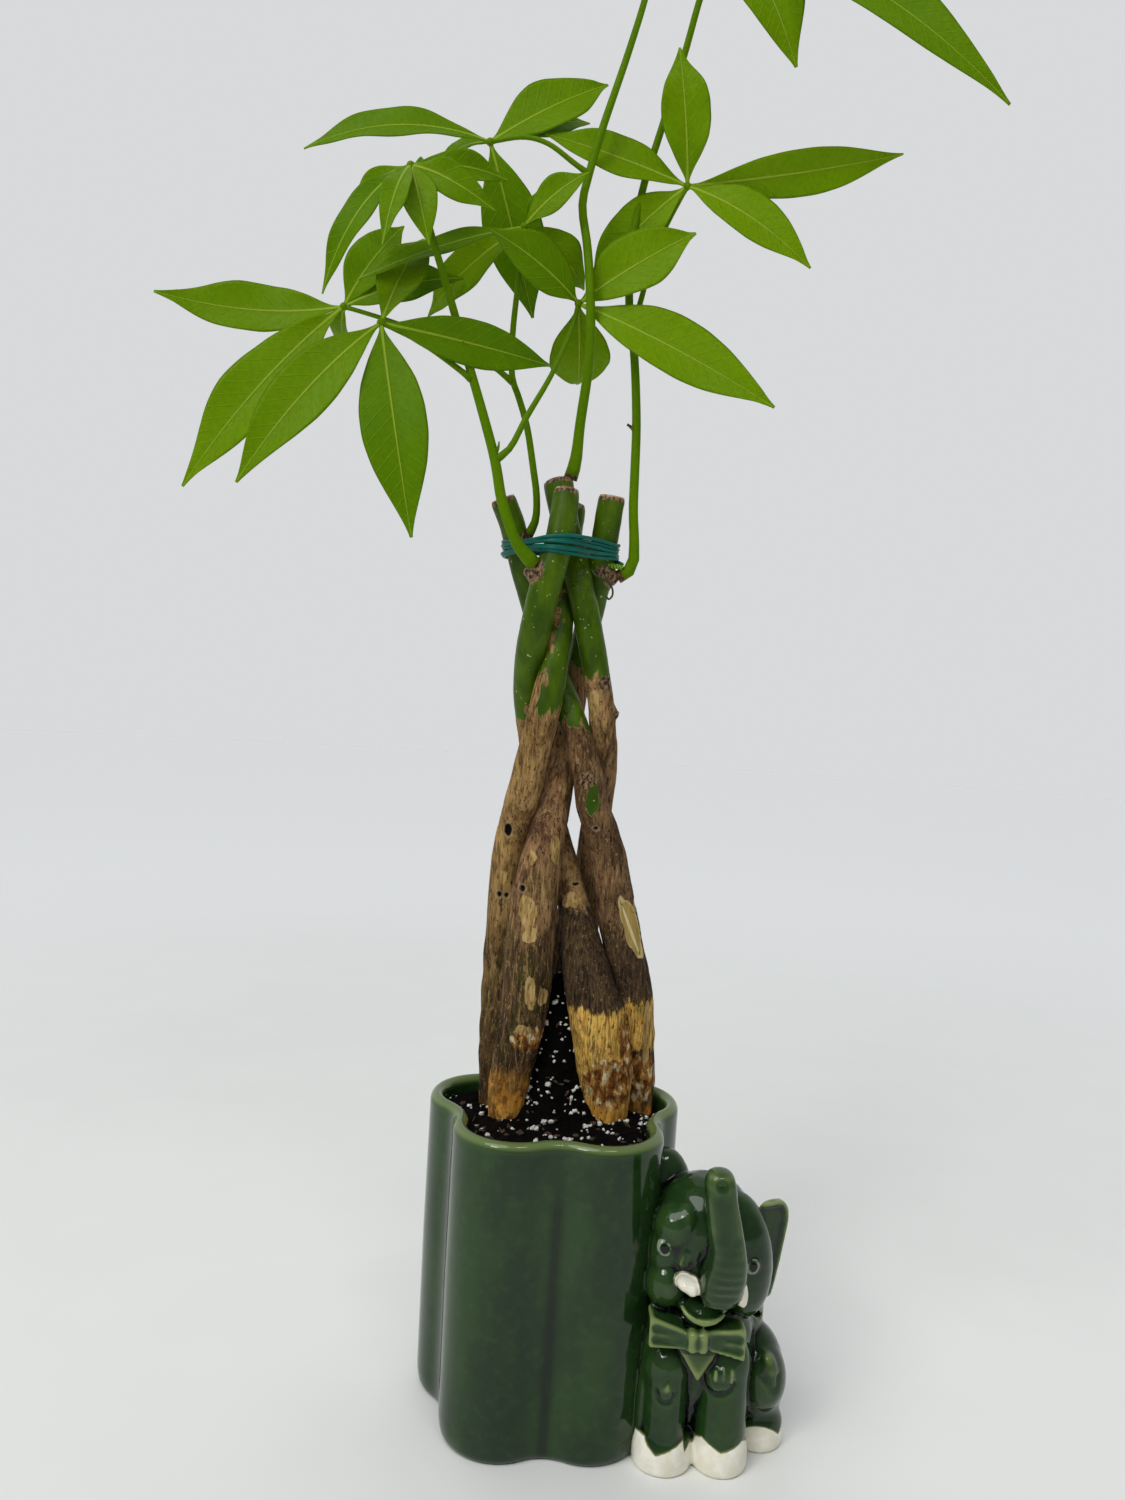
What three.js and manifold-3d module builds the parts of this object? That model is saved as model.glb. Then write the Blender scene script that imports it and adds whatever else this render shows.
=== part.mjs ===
// A braided money tree in a glazed five-lobed planter with a small elephant moulded on its corner.
// Millimetres, +Z up. The origin is the middle of the planter's flat underside, and -Y is its front.
import * as THREE from "three";
import { mergeVertices } from "three/addons/utils/BufferGeometryUtils.js";
import Module from "manifold-3d";

const wasm = await Module();
wasm.setup();

const POT_HEIGHT = 130;
const POT_WALL = 6;
const POT_FLOOR = 8;
const LOBES = 5;
const LOBE_CENTRE = 31.2;
const LOBE_RADIUS = 25.2;
const NOTCH_RADIUS = 18.6;
const FIRST_LOBE_ANGLE = THREE.MathUtils.degToRad(20.5);
const ARC_STEPS = 6;
const NOTCH_STEPS = 3;

const SOIL_LEVEL = 123;
const SOIL_LUMP = 1.2;
const MOUND_TOP = 183;
const GAP = 0.35;

const BARK_SIDES = 9;
const TRUNK_STEP = 12;
const STEM_SIDES = 5;
const BLADE_THICKNESS = 0.7;
const MIDRIB_THICKNESS = 1.7;
const STALK_HALF_WIDTH = 0.9;

const WIRE_RADIUS = 1.15;
const WIRE_PITCH = 3.0;
const WIRE_TURNS = 3;
const WIRE_START = 366;
const WIRE_LOCK = THREE.MathUtils.degToRad(-60);

// The walls' profile from the underside's edge over the rim to the floor inside: [inset, height].
const POT_PROFILE = [
  [5.2, 0], [2.9, 0.7], [1.6, 2.4], [1.1, 5], [0.4, 30], [0, 70], [0, POT_HEIGHT - 4],
  [0.5, POT_HEIGHT - 1.9], [1.7, POT_HEIGHT - 0.5], [3, POT_HEIGHT], [4.3, POT_HEIGHT - 0.5],
  [5.5, POT_HEIGHT - 1.9], [POT_WALL, POT_HEIGHT - 4], [POT_WALL, POT_FLOOR + 5], [POT_WALL + 4, POT_FLOOR],
];

// Centre lines of the five trunks, base to cut top: [x, y, z, radius].
const TRUNKS = {
  trunk_right: [
    [37, 17, 98, 5.5], [37.5, 17.5, 126, 6.4], [35.2, 17, 153, 7.9], [31.8, 15, 175, 8.8], [25.4, 12, 198, 9],
    [20, 10, 219, 8.8], [15, 9, 241, 8.1], [7, 6, 261, 7.2], [5, 6, 272, 6.9], [1, 7, 284, 6.5],
    [-3, 9, 295, 6.3], [-7, 13, 304, 6.3], [-11, 19, 313, 6.2], [-16, 22, 326, 6.1], [-22, 21, 342, 6],
    [-26, 20, 353, 6], [-30, 18, 364, 5.8], [-35, 17, 380, 5.8], [-40, 16, 391, 5.8],
  ],
  trunk_front: [
    [20, 7, 98, 7.5], [22, 8, 122, 10.3], [21, 8, 140, 12.3], [18, 8, 155, 12.8], [16, 7, 166, 12.4],
    [12.4, 7, 176, 11.7], [9.6, 8, 186, 10.4], [7.2, 9, 197, 9.2], [4.6, 11, 207, 7.5], [1.6, 14, 217, 6.8],
    [-5, 19, 237, 6.5], [-13, 24, 259, 6.5], [-19, 23, 280, 6.5], [-22, 18, 295, 6.5], [-23.5, 13, 306, 6.6],
    [-23.5, 6, 320, 6.8], [-21.5, -1, 335, 6.9], [-19, -2, 350, 6.8], [-14, -1, 370, 6.4], [-12, 3, 394, 5.7],
  ],
  trunk_left: [
    [-26, 17, 98, 6], [-27, 18, 123, 7.4], [-28, 20, 148, 8.3], [-28, 21, 170, 8.5], [-28, 20, 193, 8.3],
    [-28, 19, 215, 8], [-27.5, 18, 236, 7.8], [-25.5, 14, 248, 7.7], [-23, 7, 260, 7.6], [-19, 3, 282, 7.1],
    [-15, 2, 304, 7], [-12, 6, 328, 6.1], [-11, 17, 349, 6.1], [-10, 22, 367, 5.6], [-8, 26, 392, 5.2],
  ],
  trunk_back: [
    [4, 29, 98, 6.5], [4, 30, 125, 8.6], [4, 29.5, 148, 9.8], [4.5, 29, 170, 10.3], [3.8, 28.5, 190, 11.2],
    [4.9, 27.5, 204, 10.5], [6.6, 27, 216, 8.8], [8.6, 26.5, 226, 6.6], [9, 25, 238, 6.3], [11, 20, 258, 6.3],
    [12, 16, 278, 6.2], [9, 12, 302, 5.9],
    [4, 8, 325, 6], [-2, 7, 348, 6.1], [-7, 10.5, 366, 5.9], [-13, 14, 386, 6.1], [-16, 17, 400, 6.9],
  ],
  trunk_middle: [
    [-19, 4, 98, 6.5], [-22, 3, 125, 8.2], [-21.5, 3, 134, 8.7], [-18.6, 3.5, 154, 9.8], [-16, 4, 175, 10.8],
    [-16, 4, 197, 11], [-15, 4.5, 218, 10.6], [-12.5, 5, 239, 8.6], [-8.5, 12, 260, 7.1], [-6, 18, 282, 6.5],
    [-3, 26, 305, 6], [-1, 28, 323, 5.9], [1, 25, 338, 5.9], [4, 21, 355, 5.9], [6, 17, 375, 6], [8, 15, 395, 6],
  ],
};
// Where two trunks press on each other the later one in this order is flattened by the earlier one.
const PRESSING_ORDER = ["trunk_front", "trunk_middle", "trunk_right", "trunk_back", "trunk_left"];

// Scarred swellings of bark where the shoots break out: [trunk, x, y, z, radius].
const CALLUSES = [
  ["trunk_front", -23.8, -4.5, 357.6, 4.8],
  ["trunk_right", -29.5, 17, 372, 3.6],
  ["trunk_middle", 9.6, 19, 360, 4.6],
  ["trunk_right", 8, 1.5, 268, 3.4],
  ["trunk_back", 15, 11, 300, 2.6],
];

// Green stems and leaf stalks, base to tip: start radius, end radius, centre points [x, y, z].
const STEMS = {
  shoot_left: [
    [2.5, 1.2, [[-24, -6, 360.5], [-31.4, -10, 368], [-35.6, -12, 377], [-39, -12, 386], [-41, -12, 395],
      [-43, -12, 403], [-49, -13, 421], [-54, -15, 435], [-60, -18, 452], [-65, -20, 466], [-72, -23, 485],
      [-77, -25, 499], [-82, -26, 512]]],
    [1.4, 0.9, [[-43, -12, 401], [-37, -13, 406], [-31, -9, 420], [-21, 1, 443], [-14, 8, 465], [-12, 9, 475]]],
    [1.3, 0.9, [[-54, -15, 433], [-62, -17, 438], [-75, -20, 445], [-91, -22, 451]]],
  ],
  shoot_centre: [
    [1.6, 1.1, [[-28, 16, 375], [-25, 15, 382], [-25, 13, 392], [-27, 10, 403], [-31, 6, 421], [-35, 4, 432],
      [-38, 3, 439], [-39, 2, 449], [-39, 1, 461], [-38, 0, 479], [-37, 0, 502]]],
    [1.2, 0.9, [[-38, 3, 438], [-45, 3, 443], [-60, 3, 451], [-79, 4, 457], [-96, 5, 462], [-112, 6, 466]]],
  ],
  shoot_back: [
    [2.3, 1.2, [[-11, 18, 400], [-9, 16, 409], [-8, 14, 425], [-6, 8, 448], [-6, 4, 460], [-7, 1, 473],
      [-8, 1, 483], [-10, 3, 498], [-13, 4, 515], [-11, 3, 527], [-7, 2, 544], [2, 3, 577], [8, 5, 602],
      [11, 9, 621], [14, 14, 636]]],
    [1.2, 0.9, [[-11, 3, 527], [-18, 2, 531], [-29, 2, 538], [-39, 4, 541], [-54, 8, 540]]],
  ],
  shoot_right: [
    [2.2, 1.3, [[12, 18.2, 356.5], [18.9, 17.2, 363.5], [19.2, 16, 374], [17.8, 15.5, 389], [17.3, 15.5, 407],
      [16.7, 16, 427], [14, 17, 456], [12, 17, 468], [10, 17, 481], [10, 16, 506], [13, 15, 529], [19, 14, 553], [27, 10, 585],
      [32, 6, 607], [40, 0, 630]]],
    [1.3, 0.9, [[12, 17, 467], [15, 16, 480], [18, 15, 494], [23, 14, 510], [32, 14, 530]]],
  ],
};

// Leaf whorls: the hub where the stalk ends, and each leaflet's tip, width, arch and roll in degrees.
const WHORLS = {
  shoot_left: [
    { hub: [-82, -26, 512], leaflets: [
      [[-112, -36, 456], 13, 10, 10], [[-87, -52, 470], 11, 6, 0], [[-71, -40, 476], 15, 5, 0],
      [[-47, -32, 494], 14, 7, 15], [[-44, -12, 515], 13, 5, 10], [[-71, 6, 517], 11, 4, 0],
      [[-109, -4, 500], 11, 5, 0] ] },
    { hub: [-91, -22, 451], leaflets: [
      [[-140, -42, 380], 25, 8, 0], [[-72, -36, 364], 27, 7, 0], [[-22, 0, 445], 19, 7, 25],
      [[-79, 2, 495], 20, 4, 0] ] },
    { hub: [-12, 9, 475], leaflets: [
      [[-50, -12, 495], 23, 4, 0], [[36, 4, 506], 28, 3, 0], [[72, -10, 431], 28, 4, 0],
      [[-10, 45, 451], 28, 6, 0] ] },
  ],
  shoot_centre: [
    { hub: [-112, 6, 466], leaflets: [
      [[-192, 3, 466], 24, -8, 0], [[-172, -8, 383], 27, 8, 0], [[-62, 8, 482], 18, 5, 0],
      [[-89, 10, 503], 21, 4, 0], [[-113, 36, 457], 12, 4, 0] ] },
    { hub: [-37, 0, 502], leaflets: [
      [[-102, -20, 468], 13, 3, 20], [[-79, 30, 472], 20, 6, 0], [[-11, -3, 525], 14, 4, 0],
      [[-10, 20, 485], 20, 5, 0], [[-22, 10, 524], 12, 2, 0] ] },
  ],
  shoot_back: [
    { hub: [-54, 8, 540], leaflets: [
      [[-131, 0, 528], 19, 9, 15], [[-5, 26, 577], 25, 3, 0], [[-12, 34, 564], 17, 4, 0],
      [[-32, 28, 474], 27, 3, 0], [[-77, 22, 535], 13, 3, 20] ] },
    { hub: [14, 14, 636], leaflets: [
      [[-34, -30, 612], 19, 6, 0], [[-50, 16, 657], 22, 6, 0], [[-26, 62, 674], 24, 6, 0],
      [[18, 26, 706], 22, 5, 0], [[58, 56, 660], 20, 6, 0] ] },
  ],
  shoot_right: [
    { hub: [32, 14, 530], leaflets: [
      [[24, 5, 583], 22, 5, 0], [[123, 8, 547], 19, 9, 45], [[85, 0, 493], 22, 6, 0],
      [[-31, 10, 546], 20, 2, 0], [[-7, 30, 491], 23, 6, 0] ] },
    { hub: [40, 0, 630], leaflets: [
      [[72, -6, 572], 28, 7, 0], [[156, -22, 554], 27, 12, 0], [[112, -48, 650], 24, 7, 0],
      [[66, -10, 704], 24, 6, 0], [[4, -40, 664], 22, 6, 0], [[92, 54, 640], 24, 7, 0] ] },
  ],
};
// A leaflet's half-width along its length as a fraction of its widest half: a stalk, a blade, a drip tip.
const LEAF_OUTLINE = [[0, 0.05], [0.12, 0.27], [0.32, 0.82], [0.58, 0.97], [0.84, 0.42], [1, 0.04]];
// The side that the leaflets turn to the light, before each one's own roll.
const LIGHT = new THREE.Vector3(0, -0.97, 0.24);

function solid(geometry) {
  const plain = geometry.clone();
  plain.deleteAttribute("normal");
  plain.deleteAttribute("uv");
  const merged = mergeVertices(plain, 1e-4);
  const mesh = new wasm.Mesh({
    numProp: 3,
    vertProperties: new Float32Array(merged.attributes.position.array),
    triVerts: new Uint32Array(merged.index.array),
  });
  return new wasm.Manifold(mesh);
}

// Joined forms can seal a hollow between them; its skin faces inward, so its volume is negative.
function withoutSealedHollows(positions, triangles) {
  const parent = Array.from({ length: positions.length / 3 }, (_, i) => i);
  const root = (i) => {
    while (parent[i] !== i) i = parent[i] = parent[parent[i]];
    return i;
  };
  for (let t = 0; t < triangles.length; t += 3) {
    parent[root(triangles[t + 1])] = root(triangles[t]);
    parent[root(triangles[t + 2])] = root(triangles[t]);
  }
  const corner = (i) => new THREE.Vector3().fromArray(positions, 3 * i);
  const volumes = new Map();
  for (let t = 0; t < triangles.length; t += 3) {
    const [a, b, c] = [corner(triangles[t]), corner(triangles[t + 1]), corner(triangles[t + 2])];
    const skin = root(triangles[t]);
    volumes.set(skin, (volumes.get(skin) ?? 0) + a.dot(b.cross(c)) / 6);
  }
  return triangles.filter((_, i) => volumes.get(root(triangles[i - (i % 3)])) > 0);
}

function geometryOf(manifold) {
  const mesh = manifold.getMesh();
  const positions = new Float32Array(mesh.vertProperties);
  const geometry = new THREE.BufferGeometry();
  geometry.setAttribute("position", new THREE.BufferAttribute(positions, 3));
  geometry.setIndex(withoutSealedHollows(positions, Array.from(mesh.triVerts)));
  geometry.computeVertexNormals();
  return geometry;
}

function join(solids) {
  return solids.reduce((whole, piece) => whole.add(piece));
}

// A closed skin over a row of rings of points, with a fan of triangles at each end.
function loft(rings) {
  const count = rings[0].length;
  const points = rings.flat();
  const index = [];
  for (let r = 0; r + 1 < rings.length; r += 1) {
    for (let i = 0; i < count; i += 1) {
      const a = r * count + i;
      const b = r * count + ((i + 1) % count);
      index.push(a, b, b + count, a, b + count, a + count);
    }
  }
  const middle = (ring) => ring.reduce((sum, p) => sum.add(p), new THREE.Vector3()).divideScalar(count);
  const first = points.push(middle(rings[0])) - 1;
  const last = points.push(middle(rings.at(-1))) - 1;
  const end = (rings.length - 1) * count;
  for (let i = 0; i < count; i += 1) {
    const j = (i + 1) % count;
    index.push(first, j, i, last, end + i, end + j);
  }
  const geometry = new THREE.BufferGeometry().setFromPoints(points);
  geometry.setIndex(index);
  return geometry;
}

// Frames along a curve that don't twist, kept upright by one fixed side direction.
function tube(points, radii, sides) {
  const side = new THREE.Vector3(1, 0.013, 0.007).normalize();
  const rings = points.map((p, i) => {
    const ahead = points[Math.min(i + 1, points.length - 1)];
    const behind = points[Math.max(i - 1, 0)];
    const along = ahead.clone().sub(behind).normalize();
    side.addScaledVector(along, -side.dot(along)).normalize();
    const other = along.clone().cross(side);
    return Array.from({ length: sides }, (_, k) => {
      const turn = (2 * Math.PI * k) / sides;
      return p.clone().addScaledVector(side, radii[i] * Math.cos(turn)).addScaledVector(other, radii[i] * Math.sin(turn));
    });
  });
  return loft(rings);
}

function smoothPath(points, steps) {
  const curve = new THREE.CatmullRomCurve3(points.map((p) => new THREE.Vector3(...p)), false, "centripetal");
  return curve.getSpacedPoints(steps);
}

function ball(x, y, z, rx, ry, rz, tilt = [0, 0, 0], detail = 14) {
  const geometry = new THREE.SphereGeometry(1, detail, Math.round(detail * 0.7));
  geometry.scale(rx, ry, rz);
  geometry.rotateX(THREE.MathUtils.degToRad(tilt[0]));
  geometry.rotateY(THREE.MathUtils.degToRad(tilt[1]));
  geometry.rotateZ(THREE.MathUtils.degToRad(tilt[2]));
  geometry.translate(x, y, z);
  return solid(geometry);
}

// The plan of the pot at an inset from its outer face: five arcs joined by hollow notches.
function potRing(inset, z) {
  const half = Math.PI / LOBES;
  const reach = Math.sqrt((LOBE_RADIUS + NOTCH_RADIUS) ** 2 - (LOBE_CENTRE * Math.sin(half)) ** 2);
  const notchCentre = LOBE_CENTRE * Math.cos(half) + reach;
  const toNotch = Math.atan2(notchCentre * Math.sin(half), notchCentre * Math.cos(half) - LOBE_CENTRE);
  const toLobe = Math.PI + toNotch;
  const notchSweep = 2 * (Math.PI + half - toLobe);
  const ring = [];
  for (let k = 0; k < LOBES; k += 1) {
    const middle = FIRST_LOBE_ANGLE + (2 * Math.PI * k) / LOBES;
    const lobe = new THREE.Vector2(Math.cos(middle), Math.sin(middle)).multiplyScalar(LOBE_CENTRE);
    for (let i = 0; i <= ARC_STEPS; i += 1) {
      const a = middle + toNotch * ((2 * i) / ARC_STEPS - 1);
      ring.push(new THREE.Vector3(lobe.x + (LOBE_RADIUS - inset) * Math.cos(a), lobe.y + (LOBE_RADIUS - inset) * Math.sin(a), z));
    }
    const next = middle + half;
    const notch = new THREE.Vector2(Math.cos(next), Math.sin(next)).multiplyScalar(notchCentre);
    for (let i = 1; i < NOTCH_STEPS; i += 1) {
      const a = middle + toLobe + (notchSweep * i) / NOTCH_STEPS;
      ring.push(new THREE.Vector3(notch.x + (NOTCH_RADIUS + inset) * Math.cos(a), notch.y + (NOTCH_RADIUS + inset) * Math.sin(a), z));
    }
  }
  return ring;
}

function makePot() {
  return solid(loft(POT_PROFILE.map(([inset, z]) => potRing(inset, z))));
}

// The animal sits against the pot's front right corner, upright, with its trunk raised over its brow.
// Each row is a rounded form of its body: centre x, y, z, half-sizes along x, y, z, and tilts in degrees.
const BODY_FORMS = [
  [64, -27, 44, 23, 19, 32, [0, 0, 0]],
  [58, -10, 56, 17, 20, 50, [0, 0, 0]],
  [80, -14, 52, 13, 16, 40, [0, 0, 0]],
  [90, -20, 28, 12.5, 15, 21, [0, -6, 0]],
  [66, -23, 26, 25, 19, 24.5, [0, 0, 0]],
  [52, -20, 24, 16, 16, 22.5, [0, 0, 0]],
  [46, -36, 44, 8.5, 9, 16, [0, 4, 0]],
  [73, -36, 45, 11, 10, 17, [0, -3, 0]],
];
const HEAD_FORMS = [
  [64, -29, 91, 24, 22, 24, [0, 12, 0]],
  [50, -38, 77, 10, 11, 12, [0, 0, 0]],
  [81, -36, 77, 10.5, 11, 12, [0, 0, 0]],
  [51, -37, 95, 11, 10.5, 12, [0, 0, 0]],
  [76, -37, 97, 10, 10, 12, [0, 0, 0]],
  [66, -42, 78, 13, 12, 9, [0, 8, 0]],
  [63, -37, 71, 15, 10, 9, [0, 0, 0]],
  [61.5, -44.5, 67, 8, 6, 3.4, [0, 10, 0]],
];
const TUSKS = [
  [54.5, -53, 78, 6, 5, 4.6, [0, 25, 0]],
  [77, -51, 77, 2.6, 4, 5, [0, -10, 0]],
];
const EYES = [
  [44.8, -44, 92, 3, 2.6, 2.8, [0, 12, -30]],
  [80.5, -44.6, 86.5, 3, 2.4, 2.8, [0, 12, 20]],
];
const KNEES = [
  [47.5, -46.5, 38, 4.4, 3, 6.6, [0, 0, 0]],
  [71, -47, 42, 6, 3, 6.2, [0, 0, 0]],
  [92.5, -34, 34, 4, 3, 8.5, [0, -8, 15]],
];
// Legs: centre x, y of the foot, its half-sizes, and the leg's half-sizes above the ankle and height.
const LEGS = [
  [48, -39, 12.2, 12, 8.6, 9, 46],
  [73.5, -37, 12.2, 11.6, 10.4, 9.6, 46],
  [91.5, -21.5, 11.4, 12, 9.5, 10, 30],
  [42, -24, 10, 12, 8, 9, 28],
];
const RAISED_TRUNK = [
  [67, -42, 76, 8], [68, -50, 80, 8.4], [68, -56.5, 90, 8], [67, -59.5, 101, 7.2],
  [64.5, -60.5, 112, 6.7], [62.5, -60, 120, 6.6], [62, -59.5, 124, 6.2], [61.8, -59.5, 127.6, 4.4], [61.7, -59.5, 129.4, 1.8],
];
const EAR_SCOOP = 3;

function leg([x, y, footX, footY, shinX, shinY, top]) {
  const steps = [[0, 0.9, 0.9], [1.5, 0.985, 0.985], [5, 1, 1], [9.5, 0.97, 0.97]];
  const ellipse = (z, rx, ry) => Array.from({ length: 10 }, (_, k) => {
    const turn = (2 * Math.PI * k) / 10;
    return new THREE.Vector3(x + rx * Math.cos(turn), y + ry * Math.sin(turn), z);
  });
  const rings = steps.map(([z, fx, fy]) => ellipse(z, footX * fx, footY * fy));
  rings.push(ellipse(14, shinX, shinY), ellipse(top, shinX, shinY));
  return solid(loft(rings));
}

function forms(rows, detail) {
  return join(rows.map(([x, y, z, rx, ry, rz, tilt]) => ball(x, y, z, rx, ry, rz, tilt, detail)));
}

function bowWing(knotX, outerX, knotZ, outerZ, knotHalf, outerHalf) {
  const shape = new THREE.Shape();
  shape.moveTo(knotX, knotZ - knotHalf);
  shape.lineTo(outerX, outerZ - outerHalf);
  shape.lineTo(outerX, outerZ + outerHalf);
  shape.lineTo(knotX, knotZ + knotHalf);
  const geometry = new THREE.ExtrudeGeometry(shape, {
    depth: 8, bevelEnabled: true, bevelThickness: 1.2, bevelSize: 1.2, bevelOffset: -1.2, bevelSegments: 2,
  });
  geometry.rotateX(Math.PI / 2);
  geometry.translate(0, -44.5, 0);
  return solid(geometry);
}

function makeEar(x, y, z, rx, ry, rz, tilt, scoopX, scoopY) {
  const ear = ball(x, y, z, rx, ry, rz, tilt, 10);
  const scoop = ball(x + scoopX, y + scoopY, z + 2, rx - EAR_SCOOP, ry, rz - EAR_SCOOP - 1, tilt, 10);
  return ear.subtract(scoop);
}

function makeAnimal() {
  const centres = RAISED_TRUNK.map(([x, y, z]) => new THREE.Vector3(x, y, z));
  const raised = solid(tube(centres, RAISED_TRUNK.map((row) => row[3]), 10));
  const bow = join([
    bowWing(57, 41, 58.5, 59.5, 3.5, 7.6),
    bowWing(62, 78.5, 57.5, 55, 3.5, 7.2),
    ball(57.8, -53, 58.5, 2.2, 3, 5.2, [0, 6, 0], 8),
    ball(61.6, -53, 58, 2.2, 3, 5.2, [0, 6, 0], 8),
  ]);
  return join([
    forms(BODY_FORMS, 10),
    forms(HEAD_FORMS, 11),
    forms(TUSKS, 8),
    forms(EYES, 8),
    forms(KNEES, 8),
    makeEar(89, -21, 82, 11, 5, 25, [0, -10, 28], 1, -4),
    ball(50, -20, 100, 6, 12, 20, [0, 0, 0], 10),
    join(LEGS.map(leg)),
    raised,
    bow,
  ]);
}

function makePlanter() {
  const insideWall = [[3, -1], [3, POT_HEIGHT + 1]].map(([inset, z]) => potRing(inset, z));
  return makePot().add(makeAnimal().subtract(solid(loft(insideWall))));
}

function trunkTube(name, extra, bottom = 0) {
  const rows = TRUNKS[name];
  const curve = new THREE.CatmullRomCurve3(rows.map(([x, y, z]) => new THREE.Vector3(x, y, z)), false, "centripetal");
  const steps = Math.round(curve.getLength() / TRUNK_STEP);
  const points = [];
  const radii = [];
  for (let i = 0; i <= steps; i += 1) {
    const t = curve.getUtoTmapping(i / steps) * (rows.length - 1);
    const k = Math.min(Math.floor(t), rows.length - 2);
    points.push(curve.getPoint(t / (rows.length - 1)));
    radii.push(THREE.MathUtils.lerp(rows[k][3], rows[k + 1][3], t - k) + extra);
  }
  points[0].z -= bottom;
  points[steps].add(curve.getTangent(1).multiplyScalar(extra));
  return solid(tube(points, radii, BARK_SIDES));
}

function trunkWithCalluses(name, extra) {
  const calluses = CALLUSES.filter(([owner]) => owner === name);
  return join([
    trunkTube(name, extra),
    ...calluses.map(([, x, y, z, r]) => ball(x, y, z, r + extra, r + extra, 0.8 * r + extra, [0, 0, 0], 9)),
  ]);
}

function makeTrunks() {
  const trunks = {};
  PRESSING_ORDER.forEach((name, i) => {
    const neighbours = PRESSING_ORDER.slice(0, i).map((other) => trunkWithCalluses(other, GAP));
    trunks[name] = neighbours.reduce((trunk, other) => trunk.subtract(other), trunkWithCalluses(name, 0));
  });
  return trunks;
}

function soilHeight(x, y) {
  return SOIL_LEVEL + SOIL_LUMP * (Math.sin(0.31 * x + 0.5) * Math.cos(0.27 * y) + 0.5 * Math.sin(0.9 * x - 0.7 * y));
}

function makeSoil() {
  const wall = POT_WALL + GAP;
  const rings = [potRing(wall + 4.5, POT_FLOOR), potRing(wall, POT_FLOOR + 5.4), potRing(wall, SOIL_LEVEL - 2)];
  for (const inset of [wall, wall + 4, wall + 8, wall + 12]) {
    rings.push(potRing(inset, 0).map((p) => p.setZ(soilHeight(p.x, p.y))));
  }
  const mound = [[112, 26], [124, 25], [130, 19], [142, 14], [158, 9], [MOUND_TOP, 3.5]];
  const cone = mound.map(([z, r]) => Array.from({ length: 15 }, (_, k) => {
    const turn = (2 * Math.PI * k) / 15;
    const reach = r * (1 + 0.07 * Math.sin(5 * turn + z));
    return new THREE.Vector3(-1 + reach * Math.cos(turn), 14 + reach * Math.sin(turn), z);
  }));
  const body = solid(loft(rings)).add(solid(loft(cone)));
  const reach = solid(loft([potRing(wall, POT_FLOOR), potRing(wall, MOUND_TOP + 5)]));
  return PRESSING_ORDER.reduce((soil, name) => soil.subtract(trunkTube(name, GAP, GAP)), body.intersect(reach));
}

function stem(startRadius, endRadius, centres) {
  const points = smoothPath(centres, centres.length);
  const radii = points.map((_, i) => THREE.MathUtils.lerp(startRadius, endRadius, i / (points.length - 1)));
  return solid(tube(points, radii, STEM_SIDES));
}

function leaflet(hub, [tip, width, arch, roll]) {
  const chord = new THREE.Vector3(...tip).sub(hub);
  const along = chord.clone().normalize();
  const up = LIGHT.clone().addScaledVector(along, -LIGHT.dot(along)).normalize();
  up.applyAxisAngle(along, THREE.MathUtils.degToRad(roll));
  const rings = LEAF_OUTLINE.map(([s, fraction]) => {
    const centre = hub.clone().addScaledVector(chord, s).addScaledVector(up, 4 * arch * s * (1 - s));
    const tangent = chord.clone().addScaledVector(up, 4 * arch * (1 - 2 * s)).normalize();
    const normal = up.clone().addScaledVector(tangent, -up.dot(tangent)).normalize();
    const side = normal.clone().cross(tangent);
    const half = Math.max((fraction * width) / 2, STALK_HALF_WIDTH * (1 - 0.5 * s));
    const lift = 0.16 * half * Math.min(1, 6 * s);
    const rib = (MIDRIB_THICKNESS / 2) * (1 - 0.55 * s);
    const edge = BLADE_THICKNESS / 2;
    const at = (across, out) => centre.clone().addScaledVector(side, across).addScaledVector(normal, out);
    return [at(half, lift - edge), at(half, lift + edge), at(0, rib), at(-half, lift + edge), at(-half, lift - edge), at(0, -rib)];
  });
  return solid(loft(rings));
}

function makeShoot(name) {
  const pieces = STEMS[name].map(([start, end, centres]) => stem(start, end, centres));
  for (const { hub, leaflets } of WHORLS[name]) {
    pieces.push(ball(...hub, 1.5, 1.5, 1.5, [0, 0, 0], 6));
    for (const row of leaflets) pieces.push(leaflet(new THREE.Vector3(...hub), row));
  }
  return PRESSING_ORDER.reduce((shoot, trunk) => shoot.subtract(trunkWithCalluses(trunk, GAP)), join(pieces));
}

// The point on a taut loop round the trunks at a height, in a direction, set off by a clearance.
function loopPoint(turn, z, clearance) {
  const out = new THREE.Vector3(Math.cos(turn), Math.sin(turn), 0);
  let best = null;
  for (const rows of Object.values(TRUNKS)) {
    const k = Math.max(0, rows.findIndex((row) => row[2] > z) - 1);
    const f = (z - rows[k][2]) / (rows[k + 1][2] - rows[k][2]);
    const [x, y, , radius] = rows[k].map((value, i) => THREE.MathUtils.lerp(value, rows[k + 1][i], f));
    const reach = x * out.x + y * out.y + radius;
    if (!best || reach > best.reach) best = { reach, point: new THREE.Vector3(x, y, z).addScaledVector(out, radius) };
  }
  return best.point.addScaledVector(out, clearance);
}

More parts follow.
